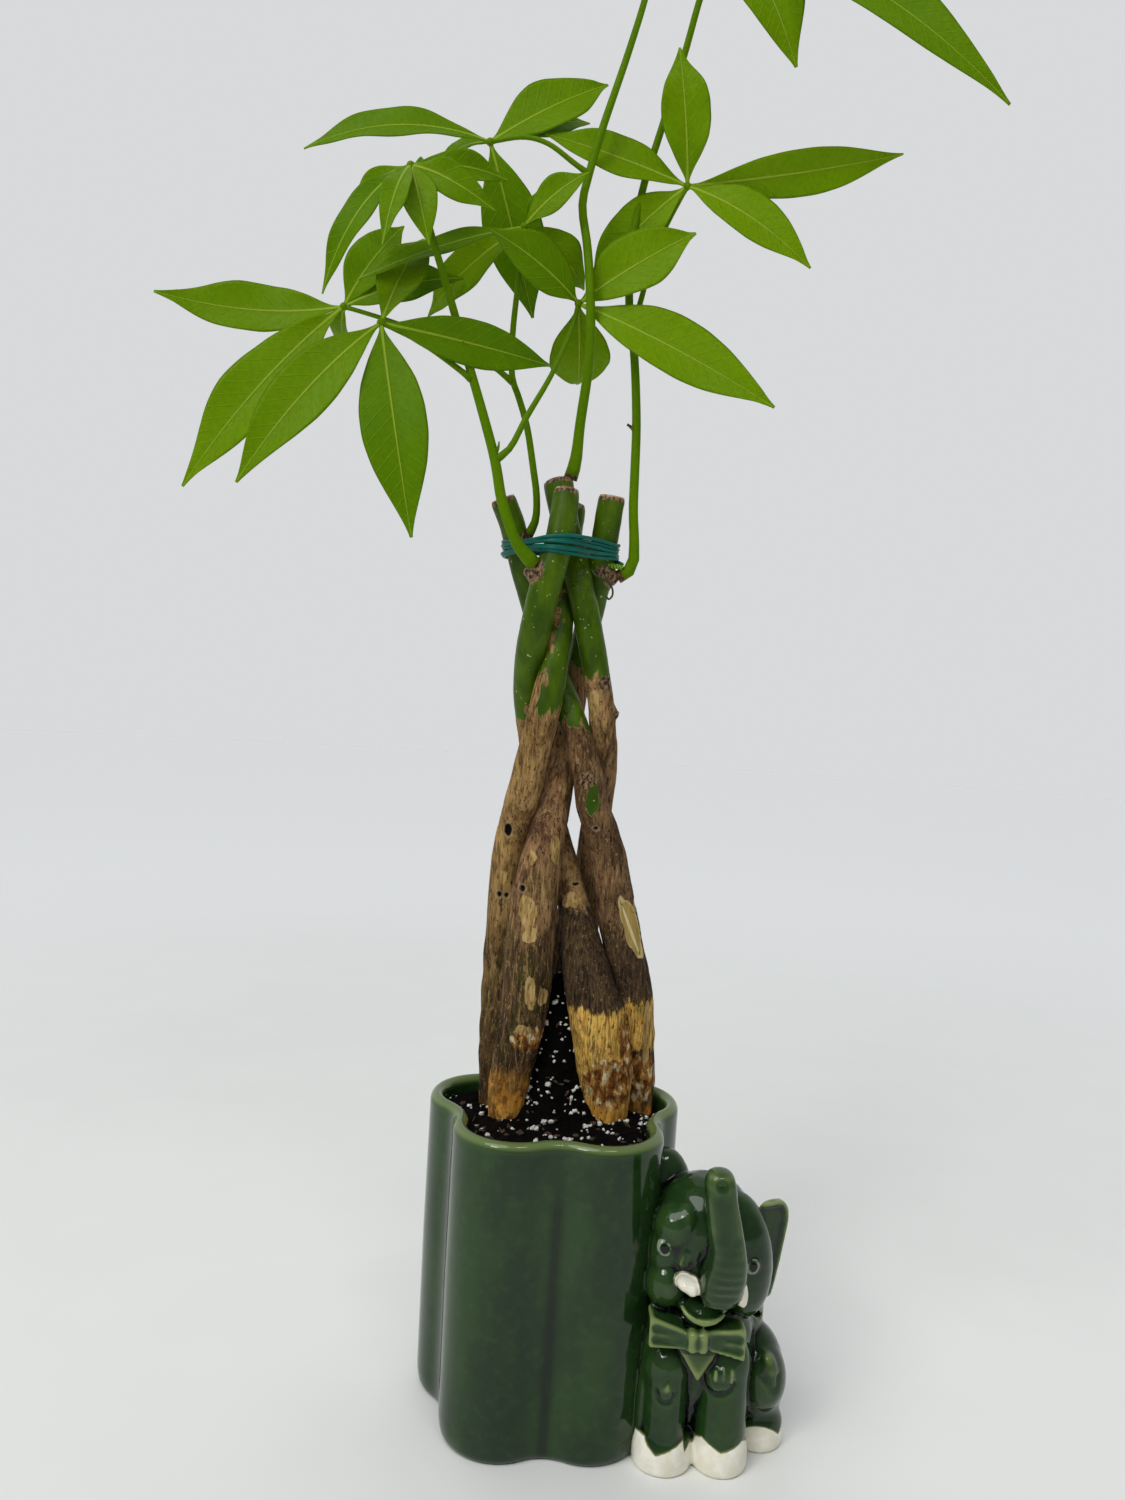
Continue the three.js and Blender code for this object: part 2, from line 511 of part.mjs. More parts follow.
function makeWire() {
  const clearance = WIRE_RADIUS + GAP + 0.6;
  const perTurn = 18;
  const coil = [];
  for (let i = 0; i <= perTurn * WIRE_TURNS; i += 1) {
    coil.push(loopPoint(WIRE_LOCK + (2 * Math.PI * i) / perTurn, WIRE_START + (WIRE_PITCH * i) / perTurn, clearance));
  }
  const outward = new THREE.Vector3(Math.cos(WIRE_LOCK), Math.sin(WIRE_LOCK), 0);
  const twistAxis = new THREE.Vector3(0.7, -0.2, -0.5).normalize();
  const across = new THREE.Vector3(0, 0, 1).cross(twistAxis).normalize();
  const over = twistAxis.clone().cross(across);
  const knot = coil[0].clone().addScaledVector(outward, 4.2).add(new THREE.Vector3(0, 0, -1));
  const strand = (from, phase) => {
    const points = [...from];
    for (let i = 0; i <= 12; i += 1) {
      const turn = phase + (2 * Math.PI * i) / 8;
      const centre = knot.clone().addScaledVector(twistAxis, i);
      points.push(centre.addScaledVector(across, 1.4 * Math.cos(turn)).addScaledVector(over, 1.4 * Math.sin(turn)));
    }
    return solid(tube(points, points.map(() => WIRE_RADIUS), 5));
  };
  const finish = coil.at(-1);
  const overTurns = [0, 0.35, 0.7].map((f) => finish.clone().lerp(coil[0], f).addScaledVector(outward, f > 0 ? 3 : 1.6));
  return join([
    solid(tube(coil, coil.map(() => WIRE_RADIUS), 5)),
    strand([coil[0]], Math.PI),
    strand([finish, ...overTurns.slice(1)], 0),
  ]);
}

const GLAZE = { color: 0x2d4a2c, roughness: 0.12, metalness: 0 };
const SOIL = { color: 0x1a1613, roughness: 0.95, metalness: 0 };
const BARK = { color: 0x8a6a42, roughness: 0.85, metalness: 0 };
const LEAF = { color: 0x5f9220, roughness: 0.5, metalness: 0 };
const WIRE = { color: 0x0f6a5c, roughness: 0.4, metalness: 0 };

const plant = new THREE.Group();

function addPiece(name, manifold, look) {
  const mesh = new THREE.Mesh(geometryOf(manifold), new THREE.MeshStandardMaterial(look));
  mesh.name = name;
  plant.add(mesh);
}

addPiece("planter", makePlanter(), GLAZE);
addPiece("soil", makeSoil(), SOIL);
for (const [name, trunk] of Object.entries(makeTrunks())) addPiece(name, trunk, BARK);
for (const name of Object.keys(STEMS)) addPiece(name, makeShoot(name), LEAF);
addPiece("tie_wire", makeWire(), WIRE);

export default plant;
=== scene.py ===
# %% [markdown]
# # A braided money tree in a green glazed planter
# Five young trunks are braided, tied at the top with coated wire and planted in a slip-cast pot.
# The pot has five lobes and a small seated elephant cast in one piece with its front right corner.
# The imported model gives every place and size. This script dresses it: it rebuilds the glaze, the
# bark, the soil and the leaves at the fineness that the eye expects, and lights them softly.

# %% Load the fixed frame
import math
import random

import bmesh
import bpy
import numpy as np
from mathutils import Matrix, Vector, noise
from mathutils.bvhtree import BVHTree


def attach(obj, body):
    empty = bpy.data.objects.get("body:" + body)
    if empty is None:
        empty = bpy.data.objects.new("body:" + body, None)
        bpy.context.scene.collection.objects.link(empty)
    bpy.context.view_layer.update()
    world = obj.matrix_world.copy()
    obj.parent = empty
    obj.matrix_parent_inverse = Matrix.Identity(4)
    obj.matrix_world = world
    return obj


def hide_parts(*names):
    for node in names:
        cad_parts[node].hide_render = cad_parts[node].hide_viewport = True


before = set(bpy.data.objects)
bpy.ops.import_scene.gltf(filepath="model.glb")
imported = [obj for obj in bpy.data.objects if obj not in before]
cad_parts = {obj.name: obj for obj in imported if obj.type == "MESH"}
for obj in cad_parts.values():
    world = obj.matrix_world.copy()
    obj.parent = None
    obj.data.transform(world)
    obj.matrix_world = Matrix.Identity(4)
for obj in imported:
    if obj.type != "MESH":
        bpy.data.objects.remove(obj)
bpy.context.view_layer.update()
MM = 0.001

# %% [markdown]
# ## Camera
# The photograph was taken by hand, a little above the rim and almost level. The camera's place and
# its three directions below were worked out from the pot's rim, its foot and its lobes. The image
# is 1125 by 1500 pixels, and the lens follows from the focal length in pixels.

# %% Camera at the photograph's viewing angle
IMAGE_HEIGHT_PX = 1500
FOCAL_PX = 1110
SENSOR_MM = 36
CAMERA_MM = (-13.1, -476.4, 301.4)
YAW, PITCH, ROLL = 0.013, 0.039, 0.063

ahead = Vector((math.sin(YAW), math.cos(YAW), 0))
forward = ahead * math.cos(PITCH) - Vector((0, 0, math.sin(PITCH)))
level_right = forward.cross(Vector((0, 0, 1))).normalized()
level_up = level_right.cross(forward)
right = level_right * math.cos(ROLL) + level_up * math.sin(ROLL)
up = level_up * math.cos(ROLL) - level_right * math.sin(ROLL)

camera_data = bpy.data.cameras.new("camera")
camera_data.sensor_fit = "VERTICAL"
camera_data.sensor_height = SENSOR_MM
camera_data.lens = FOCAL_PX * SENSOR_MM / IMAGE_HEIGHT_PX
camera_data.clip_start = 0.01
camera = bpy.data.objects.new("camera", camera_data)
turned = Matrix((right, up, -forward)).transposed().to_4x4()
camera.matrix_world = Matrix.Translation(Vector(CAMERA_MM) * MM) @ turned
bpy.context.scene.collection.objects.link(camera)
bpy.context.scene.camera = camera
print("lens mm:", round(camera_data.lens, 2))

# %% [markdown]
# ## Small helpers for finishes
# Colours are picked as the hex values seen on a screen and turned into linear light by one
# function. Another adds a shader node with its settings and links, so that each material below
# reads as a list of what its surface does, from the ground colour to the last speck.

# %% Colour and node helpers
def rgb(hex_value):
    """A screen colour as linear light, with full alpha."""
    channels = [int(hex_value[i : i + 2], 16) / 255 for i in (1, 3, 5)]
    linear = [c / 12.92 if c <= 0.04045 else ((c + 0.055) / 1.055) ** 2.4 for c in channels]
    return (*linear, 1.0)


def set_inputs(tree, node, inputs):
    """Links the sockets among a node's inputs, and sets the plain values."""
    for name, value in inputs.items():
        if isinstance(value, bpy.types.NodeSocket):
            tree.links.new(value, node.inputs[name])
        else:
            node.inputs[name].default_value = value


def add_node(tree, kind, inputs=None, **settings):
    """Adds a shader node. An input is a plain value or another node's output socket."""
    made = tree.nodes.new(kind)
    for name, value in settings.items():
        setattr(made, name, value)
    set_inputs(tree, made, inputs or {})
    return made


def new_material(name):
    """An empty material with its tree and its shader, whose output is linked."""
    material = bpy.data.materials.new(name)
    material.use_nodes = True
    tree = material.node_tree
    tree.nodes.clear()
    shader = add_node(tree, "ShaderNodeBsdfPrincipled")
    add_node(tree, "ShaderNodeOutputMaterial", {"Surface": shader.outputs["BSDF"]})
    return material, tree, shader


print("leaf green in linear light:", [round(c, 3) for c in rgb("#6f9a1e")])

# %% [markdown]
# Patterns are drawn in the object's own space, so their grain is a real size: a noise whose scale
# is one over its grain in metres. Masks such as "how far inside the green bark" are kept on the
# mesh as distances in millimetres. The shader adds noise to the distance before it cuts it, which
# gives a ragged edge that is finer than the mesh.

# %% Patterns and masks
def grain(tree, size_mm, detail=3.0, stretch=(1, 1, 1), roughness=0.55):
    """Noise with grains of a real size. A stretch below 1 draws the grains out along that axis."""
    place = add_node(tree, "ShaderNodeTexCoord").outputs["Object"]
    scaled = add_node(tree, "ShaderNodeMapping", {"Vector": place, "Scale": stretch}).outputs[0]
    scale = 1 / (size_mm * MM)
    inputs = {"Vector": scaled, "Scale": scale, "Detail": detail, "Roughness": roughness}
    return add_node(tree, "ShaderNodeTexNoise", inputs).outputs["Fac"]


def kept(tree, name):
    """A value kept on the mesh's points."""
    return add_node(tree, "ShaderNodeAttribute", attribute_name=name).outputs["Fac"]


def ramp(tree, value, low, high, to_low=0.0, to_high=1.0):
    """A value taken smoothly from one range to another, and held at its ends."""
    inputs = {"Value": value, "From Min": low, "From Max": high, "To Min": to_low, "To Max": to_high}
    return add_node(tree, "ShaderNodeMapRange", inputs, interpolation_type="SMOOTHSTEP").outputs[0]


def calc(tree, operation, first, second=0.0):
    return add_node(tree, "ShaderNodeMath", {0: first, 1: second}, operation=operation).outputs[0]


def centred(tree, value, reach):
    """A noise from 0 to 1 moved to lie round zero, with a reach."""
    return calc(tree, "MULTIPLY", calc(tree, "SUBTRACT", value, 0.5), reach)


def mix(tree, share, first, second, amount=1.0):
    """Two colours mixed by a share from 0 to 1. An amount below 1 weakens the share."""
    if amount < 1:
        share = calc(tree, "MULTIPLY", share, amount)
    first, second = (rgb(c) if isinstance(c, str) else c for c in (first, second))
    inputs = {0: share, 6: first, 7: second}
    return add_node(tree, "ShaderNodeMix", inputs, data_type="RGBA").outputs[2]


def layered(tree, ground, *layers):
    """A ground colour under layers, each given as (share, colour) or (share, colour, amount)."""
    for share, colour, *amount in layers:
        ground = mix(tree, share, ground, colour, *amount)
    return ground


def band(tree, distance, wide, narrow):
    """1 on the line where a distance is zero, falling to 0 on both sides of it."""
    return ramp(tree, calc(tree, "ABSOLUTE", distance), wide, narrow)


def relief(tree, height, depth_mm, normal=None):
    """Bump of a real depth."""
    inputs = {"Height": height, "Distance": depth_mm * MM, "Strength": 1.0}
    if normal is not None:
        inputs["Normal"] = normal
    return add_node(tree, "ShaderNodeBump", inputs).outputs["Normal"]


def ragged_mask(tree, name, noise_mm, grain_mm, stretch=(1, 1, 1), soft_mm=0.25):
    """1 inside a kept distance and 0 outside, with an edge that wanders by noise."""
    wander = centred(tree, grain(tree, grain_mm, 4.0, stretch), 2 * noise_mm)
    return ramp(tree, calc(tree, "ADD", kept(tree, name), wander), -soft_mm, soft_mm)


# %% [markdown]
# ## Small helpers for meshes
# Most pieces here are lofts: closed rings of points joined into a skin. Tubes are lofted along a
# smooth line through given points. A grown or cast thing is rounder than that, so a fine even skin
# is drawn over such a mesh by a voxel remesh.

# %% Rings, lines and skins
def loft(rings):
    """Points and faces of a closed skin over rings that have the same count of points."""
    count = len(rings[0])
    points = [p for ring in rings for p in ring]
    faces = []
    for r in range(len(rings) - 1):
        for i in range(count):
            j = (i + 1) % count
            faces.append((r * count + i, r * count + j, (r + 1) * count + j, (r + 1) * count + i))
    faces.append(tuple(reversed(range(count))))
    faces.append(tuple(range((len(rings) - 1) * count, len(rings) * count)))
    return points, faces


def tube_rings(centres, radii, sides):
    """Rings across a line of centres, all turned the same way."""
    side = Vector((1, 0.013, 0.007)).normalized()
    rings = []
    for i, (centre, radius) in enumerate(zip(centres, radii)):
        along = (centres[min(i + 1, len(centres) - 1)] - centres[max(i - 1, 0)]).normalized()
        side = (side - along * side.dot(along)).normalized()
        other = along.cross(side)
        rings.append([centre + side * radius * c + other * radius * s for c, s in circle(sides)])
    return rings


def tube(points, radius, count, sides):
    """A tube of even thickness on a smooth line through points."""
    return loft(tube_rings(smooth_line(points, count), [radius] * count, sides))


def between(start, end, time, from_time, to_time):
    return start.lerp(end, (time - from_time) / (to_time - from_time))


def smooth_line(points, count, steps=12):
    """A centripetal spline through points, at even spacing."""
    knots = [Vector(p) for p in points]
    ends = [knots[0] * 2 - knots[1], *knots, knots[-1] * 2 - knots[-2]]
    fine = []
    for a, b, c, d in zip(ends, ends[1:], ends[2:], ends[3:]):
        t0 = 0.0
        t1 = t0 + (b - a).length ** 0.5
        t2 = t1 + (c - b).length ** 0.5
        t3 = t2 + (d - c).length ** 0.5
        for k in range(steps):
            t = t1 + (t2 - t1) * k / steps
            ab, bc, cd = between(a, b, t, t0, t1), between(b, c, t, t1, t2), between(c, d, t, t2, t3)
            fine.append(between(between(ab, bc, t, t0, t2), between(bc, cd, t, t1, t3), t, t1, t2))
    fine.append(knots[-1])
    lengths = np.cumsum([0.0] + [(q - p).length for p, q in zip(fine, fine[1:])])
    places = np.linspace(0, lengths[-1], count)
    axes = [np.interp(places, lengths, [p[axis] for p in fine]) for axis in range(3)]
    return [Vector(p) for p in zip(*axes)]


def circle(count):
    """The cosine and sine of even turns round a ring."""
    turns = [2 * math.pi * k / count for k in range(count)]
    return [(math.cos(t), math.sin(t)) for t in turns]


def bulged(value, power):
    """A value raised to a power with its sign kept. A power below 1 squares a ring's sides."""
    return math.copysign(abs(value) ** power, value)


def bell(offset, width):
    """1 where the offset is 0, falling smoothly to 0 some widths away. Takes numbers and arrays."""
    return np.exp(-((offset / width) ** 2))


def step(value, sharpness):
    """0 below zero and 1 above it, with a soft step between. Takes numbers and arrays."""
    return 1 / (1 + np.exp(-sharpness * value))


def mesh_from(name, points_mm, faces):
    mesh = bpy.data.meshes.new(name)
    mesh.from_pydata([Vector(p) * MM for p in points_mm], [], faces)
    mesh.validate()
    mesh.update()
    return mesh


def joined(name, parts):
    """Several (points, faces) as one mesh."""
    points, faces = [], []
    for part_points, part_faces in parts:
        first = len(points)
        points += part_points
        faces += [tuple(first + i for i in face) for face in part_faces]
    return mesh_from(name, points, faces)


def placed(name, data):
    """A new object in the scene."""
    made = bpy.data.objects.new(name, data)
    bpy.context.scene.collection.objects.link(made)
    return made


def applied(mesh, *modifiers):
    """The mesh with modifiers applied, each given as (type, settings)."""
    stand = placed("stand", mesh)
    for kind, settings in modifiers:
        modifier = stand.modifiers.new(kind.lower(), kind)
        for key, value in settings.items():
            setattr(modifier, key, value)
    seen = stand.evaluated_get(bpy.context.evaluated_depsgraph_get())
    made = bpy.data.meshes.new_from_object(seen)
    bpy.data.objects.remove(stand)
    return made


def voxel_skin(voxel_mm):
    """The modifier that draws one fine even skin over a mesh."""
    return "REMESH", {"mode": "VOXEL", "voxel_size": voxel_mm * MM}


def coordinates(mesh):
    flat = np.empty(len(mesh.vertices) * 3)
    mesh.vertices.foreach_get("co", flat)
    return flat.reshape(-1, 3)


def normals(mesh):
    flat = np.empty(len(mesh.vertices) * 3)
    mesh.vertex_normals.foreach_get("vector", flat)
    return flat.reshape(-1, 3)


def move_points(mesh, places):
    mesh.vertices.foreach_set("co", places.ravel())
    mesh.update()


def move_along(mesh, places, amounts):
    """Moves each point from its place, along the mesh's normal there."""
    move_points(mesh, (places + normals(mesh) * amounts[:, None]) * MM)


def keep_values(mesh, name, values):
    attribute = mesh.attributes.new(name, "FLOAT", "POINT")
    attribute.data.foreach_set("value", np.asarray(values, dtype=np.float32))


def piece(name, mesh, material, slot, *nodes):
    """Shows a mesh as a piece of the object. It rides on the pot and may stand for CAD nodes."""
    mesh.materials.clear()
    mesh.materials.append(material)
    mesh.polygons.foreach_set("use_smooth", [True] * len(mesh.polygons))
    made = placed(name, mesh)
    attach(made, "root")
    if nodes:
        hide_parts(*nodes)
    print(name, "triangles:", sum(len(p.vertices) - 2 for p in mesh.polygons))


middle_of_arc = smooth_line([(0, 0, 0), (1, 0, 1), (2, 0, 0)], 5)[2]
print("the middle of a line of five points:", [round(v, 2) for v in middle_of_arc])

# %% [markdown]
# ## Planter: the glaze
# The pot is slip-cast stoneware under a bottle green glaze. Glaze runs thin over every edge and
# shows olive there, and it pools dark in the grooves. Where a tool would brush or spray that, here
# the mesh tells it: each point keeps how far it stands proud of its neighbours. Where the figure
# meets the wall it is darkened as well, partly pooled glaze and partly painted shade in the joint.
# The feet and tusks were left cream, the eyes have an uneven pale outline and a dark pupil, and
# all of it is glassy.

# %% Glaze material
def glazed_stoneware():
    material, tree, shader = new_material("bottle green glaze on stoneware")
    cloud = grain(tree, 26, 3.0, (1, 1, 0.45))
    fine = grain(tree, 5, 4.0)
    proud = kept(tree, "proud")
    eye_ring = calc(tree, "ADD", kept(tree, "eye_ring"), centred(tree, fine, 2.4))
    pits = ramp(tree, grain(tree, 1.1, 2.0), 0.79, 0.82)
    cream = mix(tree, ramp(tree, fine, 0.35, 0.7), "#e9e4cf", "#f7f4e8")
    body = layered(
        tree, mix(tree, ramp(tree, cloud, 0.36, 0.66), "#162e14", "#233e19"),
        (ramp(tree, fine, 0.45, 0.75), "#3c5a2e", 0.2),
        (ramp(tree, proud, 0.1, 0.9, 0, 0.3), "#3f5a2c"),
        (ramp(tree, proud, 0.75, 2.1), "#7a8a52"),
        # Near black where the glaze pools in grooves, and painted shade where the figure meets the
        # wall.
        (ramp(tree, proud, -0.1, -1.1), "#060e09"),
        (band(tree, kept(tree, "cream"), 1.0, 0.2), "#8a8a48", 0.65),
        (ragged_mask(tree, "cream", 0.35, 2.2, soft_mm=0.3), cream),
        (ramp(tree, eye_ring, -0.2, 0.15, 0, 0.85), "#8f9a86"),
        (ramp(tree, kept(tree, "pupil"), -0.15, 0.15), "#050807"),
        (pits, "#0a120b", 0.5),
    )
    rough = ramp(tree, grain(tree, 3.0, 3.0), 0.3, 0.8, 0.06, 0.13)
    normal = relief(tree, pits, -0.05, relief(tree, grain(tree, 9.0, 2.0), 0.10))
    set_inputs(tree, shader, {"Base Color": body, "Roughness": rough, "Normal": normal, "IOR": 1.41})
    return material


GLAZE = glazed_stoneware()
print("glaze nodes:", len(GLAZE.node_tree.nodes))

# %% [markdown]
# ## Planter: the pot
# The plan is five arcs joined by hollow notches, and the wall is one profile carried round it, as
# a plaster mould would give it. The same driving sizes as in the model are used, with more points.

# %% Pot wall
POT_HEIGHT = 130
POT_WALL = 6
POT_FLOOR = 8
LOBES = 5
LOBE_CENTRE = 31.2
LOBE_RADIUS = 25.2
NOTCH_RADIUS = 18.6
FIRST_LOBE_ANGLE = math.radians(20.5)


def pot_ring(inset, z, arc_steps=26, notch_steps=9):
    """The pot's plan at an inset from its outer face."""
    half = math.pi / LOBES
    reach = math.sqrt((LOBE_RADIUS + NOTCH_RADIUS) ** 2 - (LOBE_CENTRE * math.sin(half)) ** 2)
    notch_centre = LOBE_CENTRE * math.cos(half) + reach
    to_notch = math.atan2(notch_centre * math.sin(half), notch_centre * math.cos(half) - LOBE_CENTRE)
    sweep = 2 * (half - to_notch)
    ring = []
    for k in range(LOBES):
        middle = FIRST_LOBE_ANGLE + 2 * math.pi * k / LOBES
        for i in range(arc_steps + 1):
            a = middle + to_notch * (2 * i / arc_steps - 1)
            x = LOBE_CENTRE * math.cos(middle) + (LOBE_RADIUS - inset) * math.cos(a)
            y = LOBE_CENTRE * math.sin(middle) + (LOBE_RADIUS - inset) * math.sin(a)
            ring.append(Vector((x, y, z)))
        for i in range(1, notch_steps):
            a = middle + math.pi + to_notch + sweep * i / notch_steps
            x = notch_centre * math.cos(middle + half) + (NOTCH_RADIUS + inset) * math.cos(a)
            y = notch_centre * math.sin(middle + half) + (NOTCH_RADIUS + inset) * math.sin(a)
            ring.append(Vector((x, y, z)))
    return ring


def rounded_profile():
    """The wall from the underside over the rim to the floor inside, as (inset, height)."""
    foot = [(5.2, 0), (3.6, 0.25), (2.6, 0.95), (1.9, 2.1), (1.5, 3.6), (1.2, 5.5)]
    low_wall = [(0.9 * (1 - z / 70) + 0.15, z) for z in range(8, 70, 2)]
    high_wall = [(0.15 * (1 - (z - 70) / 56), z) for z in range(70, 126, 2)]
    turns = [math.pi * k / 14 for k in range(15)]
    rim = [(3 - 3 * math.cos(t), POT_HEIGHT - 4 + 4 * math.sin(t)) for t in turns]
    inside = [(POT_WALL, z) for z in (122, 116, 100, 70, 40, POT_FLOOR + 5)]
    floor = [(POT_WALL + 1.3, POT_FLOOR + 1.4), (POT_WALL + 4, POT_FLOOR)]
    return foot + low_wall + high_wall + rim + inside + floor


POT = mesh_from("pot", *loft([pot_ring(inset, z) for inset, z in rounded_profile()]))
print("pot points:", len(POT.vertices))

# %% [markdown]
# ## Planter: the elephant
# The figure sits upright against the corner, its trunk raised over its brow, a bow under its chin.
# A modeller would press balls of clay together, cut the details with a tool and smooth the joins.
# This does the same: each form is a ball with its own half-sizes and tilt, or a loft, and a voxel
# remesh melts them into one skin. The knees' outlines are pressed in last, as shallow grooves. The
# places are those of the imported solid, with finer features.

# %% The elephant's forms
# Centre x, y, z and half-sizes, then for a tilted form its turn about its depth in degrees, and
# about its height.
BODY_FORMS = [
    (64, -27, 44, 23, 18, 32),
    (58, -10, 56, 17, 20, 50),
    (80, -14, 52, 13, 16, 40),
    (90, -20, 28, 12.5, 15, 21, -6),
    (66, -23, 26, 25, 18, 24.5),
    (42.0, -36, 27, 4.4, 6.8, 27, 2),
    (50, -38, 39, 10, 11.4, 12.5),
    (73, -37.5, 41, 11.6, 12, 14),
    (91, -25, 30, 11, 13, 15, -6),
]
HEAD_FORMS = [
    (63, -28, 91, 22, 20, 23),
    (77.5, -33, 83.5, 13.6, 12.5, 26, -8),
    (50.8, -37, 96, 9.8, 9.8, 9.6),
    (47.6, -37, 86, 8, 8.2, 12),
    (54, -37.5, 86, 7.5, 8.4, 12),
    (47.8, -38, 74, 9.2, 10.4, 10.8, 6),
    (54, -38, 98, 7, 8.6, 9),
    (65, -40, 81, 12, 11.5, 8.5),
    (62, -40, 66.4, 11, 11, 4.4, 4),
    (47, -14, 98, 12.5, 10, 20.5),
]
FOLDS = [(52.6, -45.8, 86.8, 0.75, 1.6, 4.4, 14), (55.2, -45.8, 87.4, 0.75, 2.1, 4.4, 14),
         (57.8, -45.8, 88.0, 0.75, 2.6, 4.4, 14)]
TUSKS = [(54, -49.5, 78.4, 3.9, 5, 2.8, 12), (56.4, -50.5, 77.6, 2.8, 5, 3.3),
         (76.2, -51, 76.5, 2.3, 4, 5.8, -4)]
EYES = [(45.2, -44.4, 89.8, 2.5, 4, 3.0, -28), (81, -44.4, 84.4, 2.4, 4, 2.9, 12)]
KNEES = [(49.4, -45.6, 34, 4.3, 5, 5.6), (70.8, -45.4, 39.2, 6.5, 5, 6.6),
         (92.8, -32.6, 34, 4.2, 5, 9.4, -8, 10)]
KNEE_FOLDS = [(x, -49.8, 41.6, 0.9, 1.3, 3.8) for x in (68.2, 71.4, 74.6)]
KNEE_FOLDS.append((49.6, -49.8, 34.6, 0.9, 1.3, 4.2))
# Foot centre x, y and half-sizes, shin half-sizes, height.
LEGS = [
    (50.2, -39.5, 12.3, 12, 8.8, 10.2, 48),
    (73.4, -38.5, 11.6, 12, 10.4, 10.8, 50),
    (91.5, -21.5, 11.4, 12, 9.5, 10, 30),
    (43, -26, 9, 11, 7, 8, 30),
]
# The raised trunk: x, y of its front, y of its back, z and half-width.
RAISED_TRUNK = [
    (67.2, -52.5, -44, 70.4, 4.5), (67.2, -55.5, -42, 71.8, 6.6), (67.5, -58.2, -42, 76, 8.1),
    (68, -62, -43, 84, 8.9), (68.4, -64.8, -47, 91, 7.9), (67.9, -66.2, -51, 98, 6.9),
    (65.8, -67, -53.5, 107, 6.8), (63.6, -66.9, -54.4, 118, 6.2), (62.9, -66.4, -54.2, 124, 6.1),
    (62.7, -65.2, -55.2, 127.6, 5.0), (62.6, -62.6, -57.6, 129.3, 2.6),
]
CREASE_MM = 0.36
CREASE_PITCH_MM = 4.2
NOSTRIL = (62.8, -70.2, 125.4, 4.9, 4.9, 4.3)
VENT = (88.4, -30, 54.4, 1.2, 14, 3.2, -45)
# The right ear's outline: z, then x where it leaves the head and x of its outer edge.
EAR = [(63, 89, 93.4), (68, 88, 94.8), (77, 86, 96.8), (86, 85, 98.4), (93, 84.5, 99.6),
       (98, 84.5, 99.4), (101, 85.5, 97.8), (102.8, 88, 95)]
EAR_SLOPE = 0.5
EAR_THICK = 6
LIP = [(52.5, -47.5, 69.4), (55, -50.5, 66.8), (60, -52.5, 64.9), (66, -52, 65.2), (71, -49, 67.4)]
CHEST = [(50, 56), (54.6, 48.8), (61.4, 38), (66.6, 46.9), (71, 56)]
BALL_ROUNDS = 28
ELEPHANT_VOXEL_MM = 0.7


def tilted(tilt):
    """The turn of a form: first about its depth, then about its height."""
    about_depth, about_height = (*tilt, 0, 0)[:2]
    first = Matrix.Rotation(math.radians(about_depth), 3, "Y")
    return Matrix.Rotation(math.radians(about_height), 3, "Z") @ first


def clay_ball(form, power=1.0):
    """Points and faces of one ball of clay. A power below 1 flattens its sides like a bar's."""
    x, y, z, rx, ry, rz, *tilt = form
    turned = tilted(tilt)
    rings = []
    for i in range(1, BALL_ROUNDS // 2):
        low = math.pi * i / (BALL_ROUNDS // 2)
        flat, height = bulged(math.sin(low), power), -rz * bulged(math.cos(low), power)
        ring = []
        for c, s in circle(BALL_ROUNDS):
            local = Vector((rx * flat * bulged(c, power), ry * flat * bulged(s, power), height))
            ring.append(turned @ local + Vector((x, y, z)))
        rings.append(ring)
    return loft(rings)


def clay_leg(row):
    x, y, foot_x, foot_y, shin_x, shin_y, top = row
    steps = [(0, 0.93), (0.8, 0.975), (2.5, 1), (7, 1), (10, 0.96), (12.4, 0.88)]
    sizes = [(z, foot_x * f, foot_y * f) for z, f in steps]
    domed = [(13.6, 1), (top - 14, 1), (top - 9, 0.96), (top - 5, 0.83), (top - 2, 0.6), (top, 0.25)]
    sizes += [(z, f * shin_x, f * shin_y) for z, f in domed]
    turns = circle(36)
    return loft([[Vector((x + rx * c, y + ry * s, z)) for c, s in turns] for z, rx, ry in sizes])


def clay_trunk():
    """The raised trunk: flat in front between two proud edges, with creases on its lower half."""
    rows = np.array(RAISED_TRUNK)
    heights = np.linspace(rows[0, 3], rows[-1, 3], 90)
    rings = []
    for z in heights:
        x, front, back, half = (float(np.interp(z, rows[:, 3], rows[:, c])) for c in (0, 1, 2, 4))
        crease = CREASE_MM * math.cos(2 * math.pi * z / CREASE_PITCH_MM) if 72 < z < 104 else 0.0
        hollow = 1.3 * min(1, max(0, (121 - z) / 3)) * min(1, max(0, (z - 72) / 4))
        ring = []
        for c, s in circle(48):
            across = bulged(c, 0.75)
            y = (front + back) / 2 + bulged(s, 0.75) * (back - front) / 2
            if s < 0:
                y += (hollow - crease) * max(0, 1 - (across / 0.78) ** 2)
            ring.append(Vector((x + half * across, y, float(z))))
        rings.append(ring)
    return loft(rings)


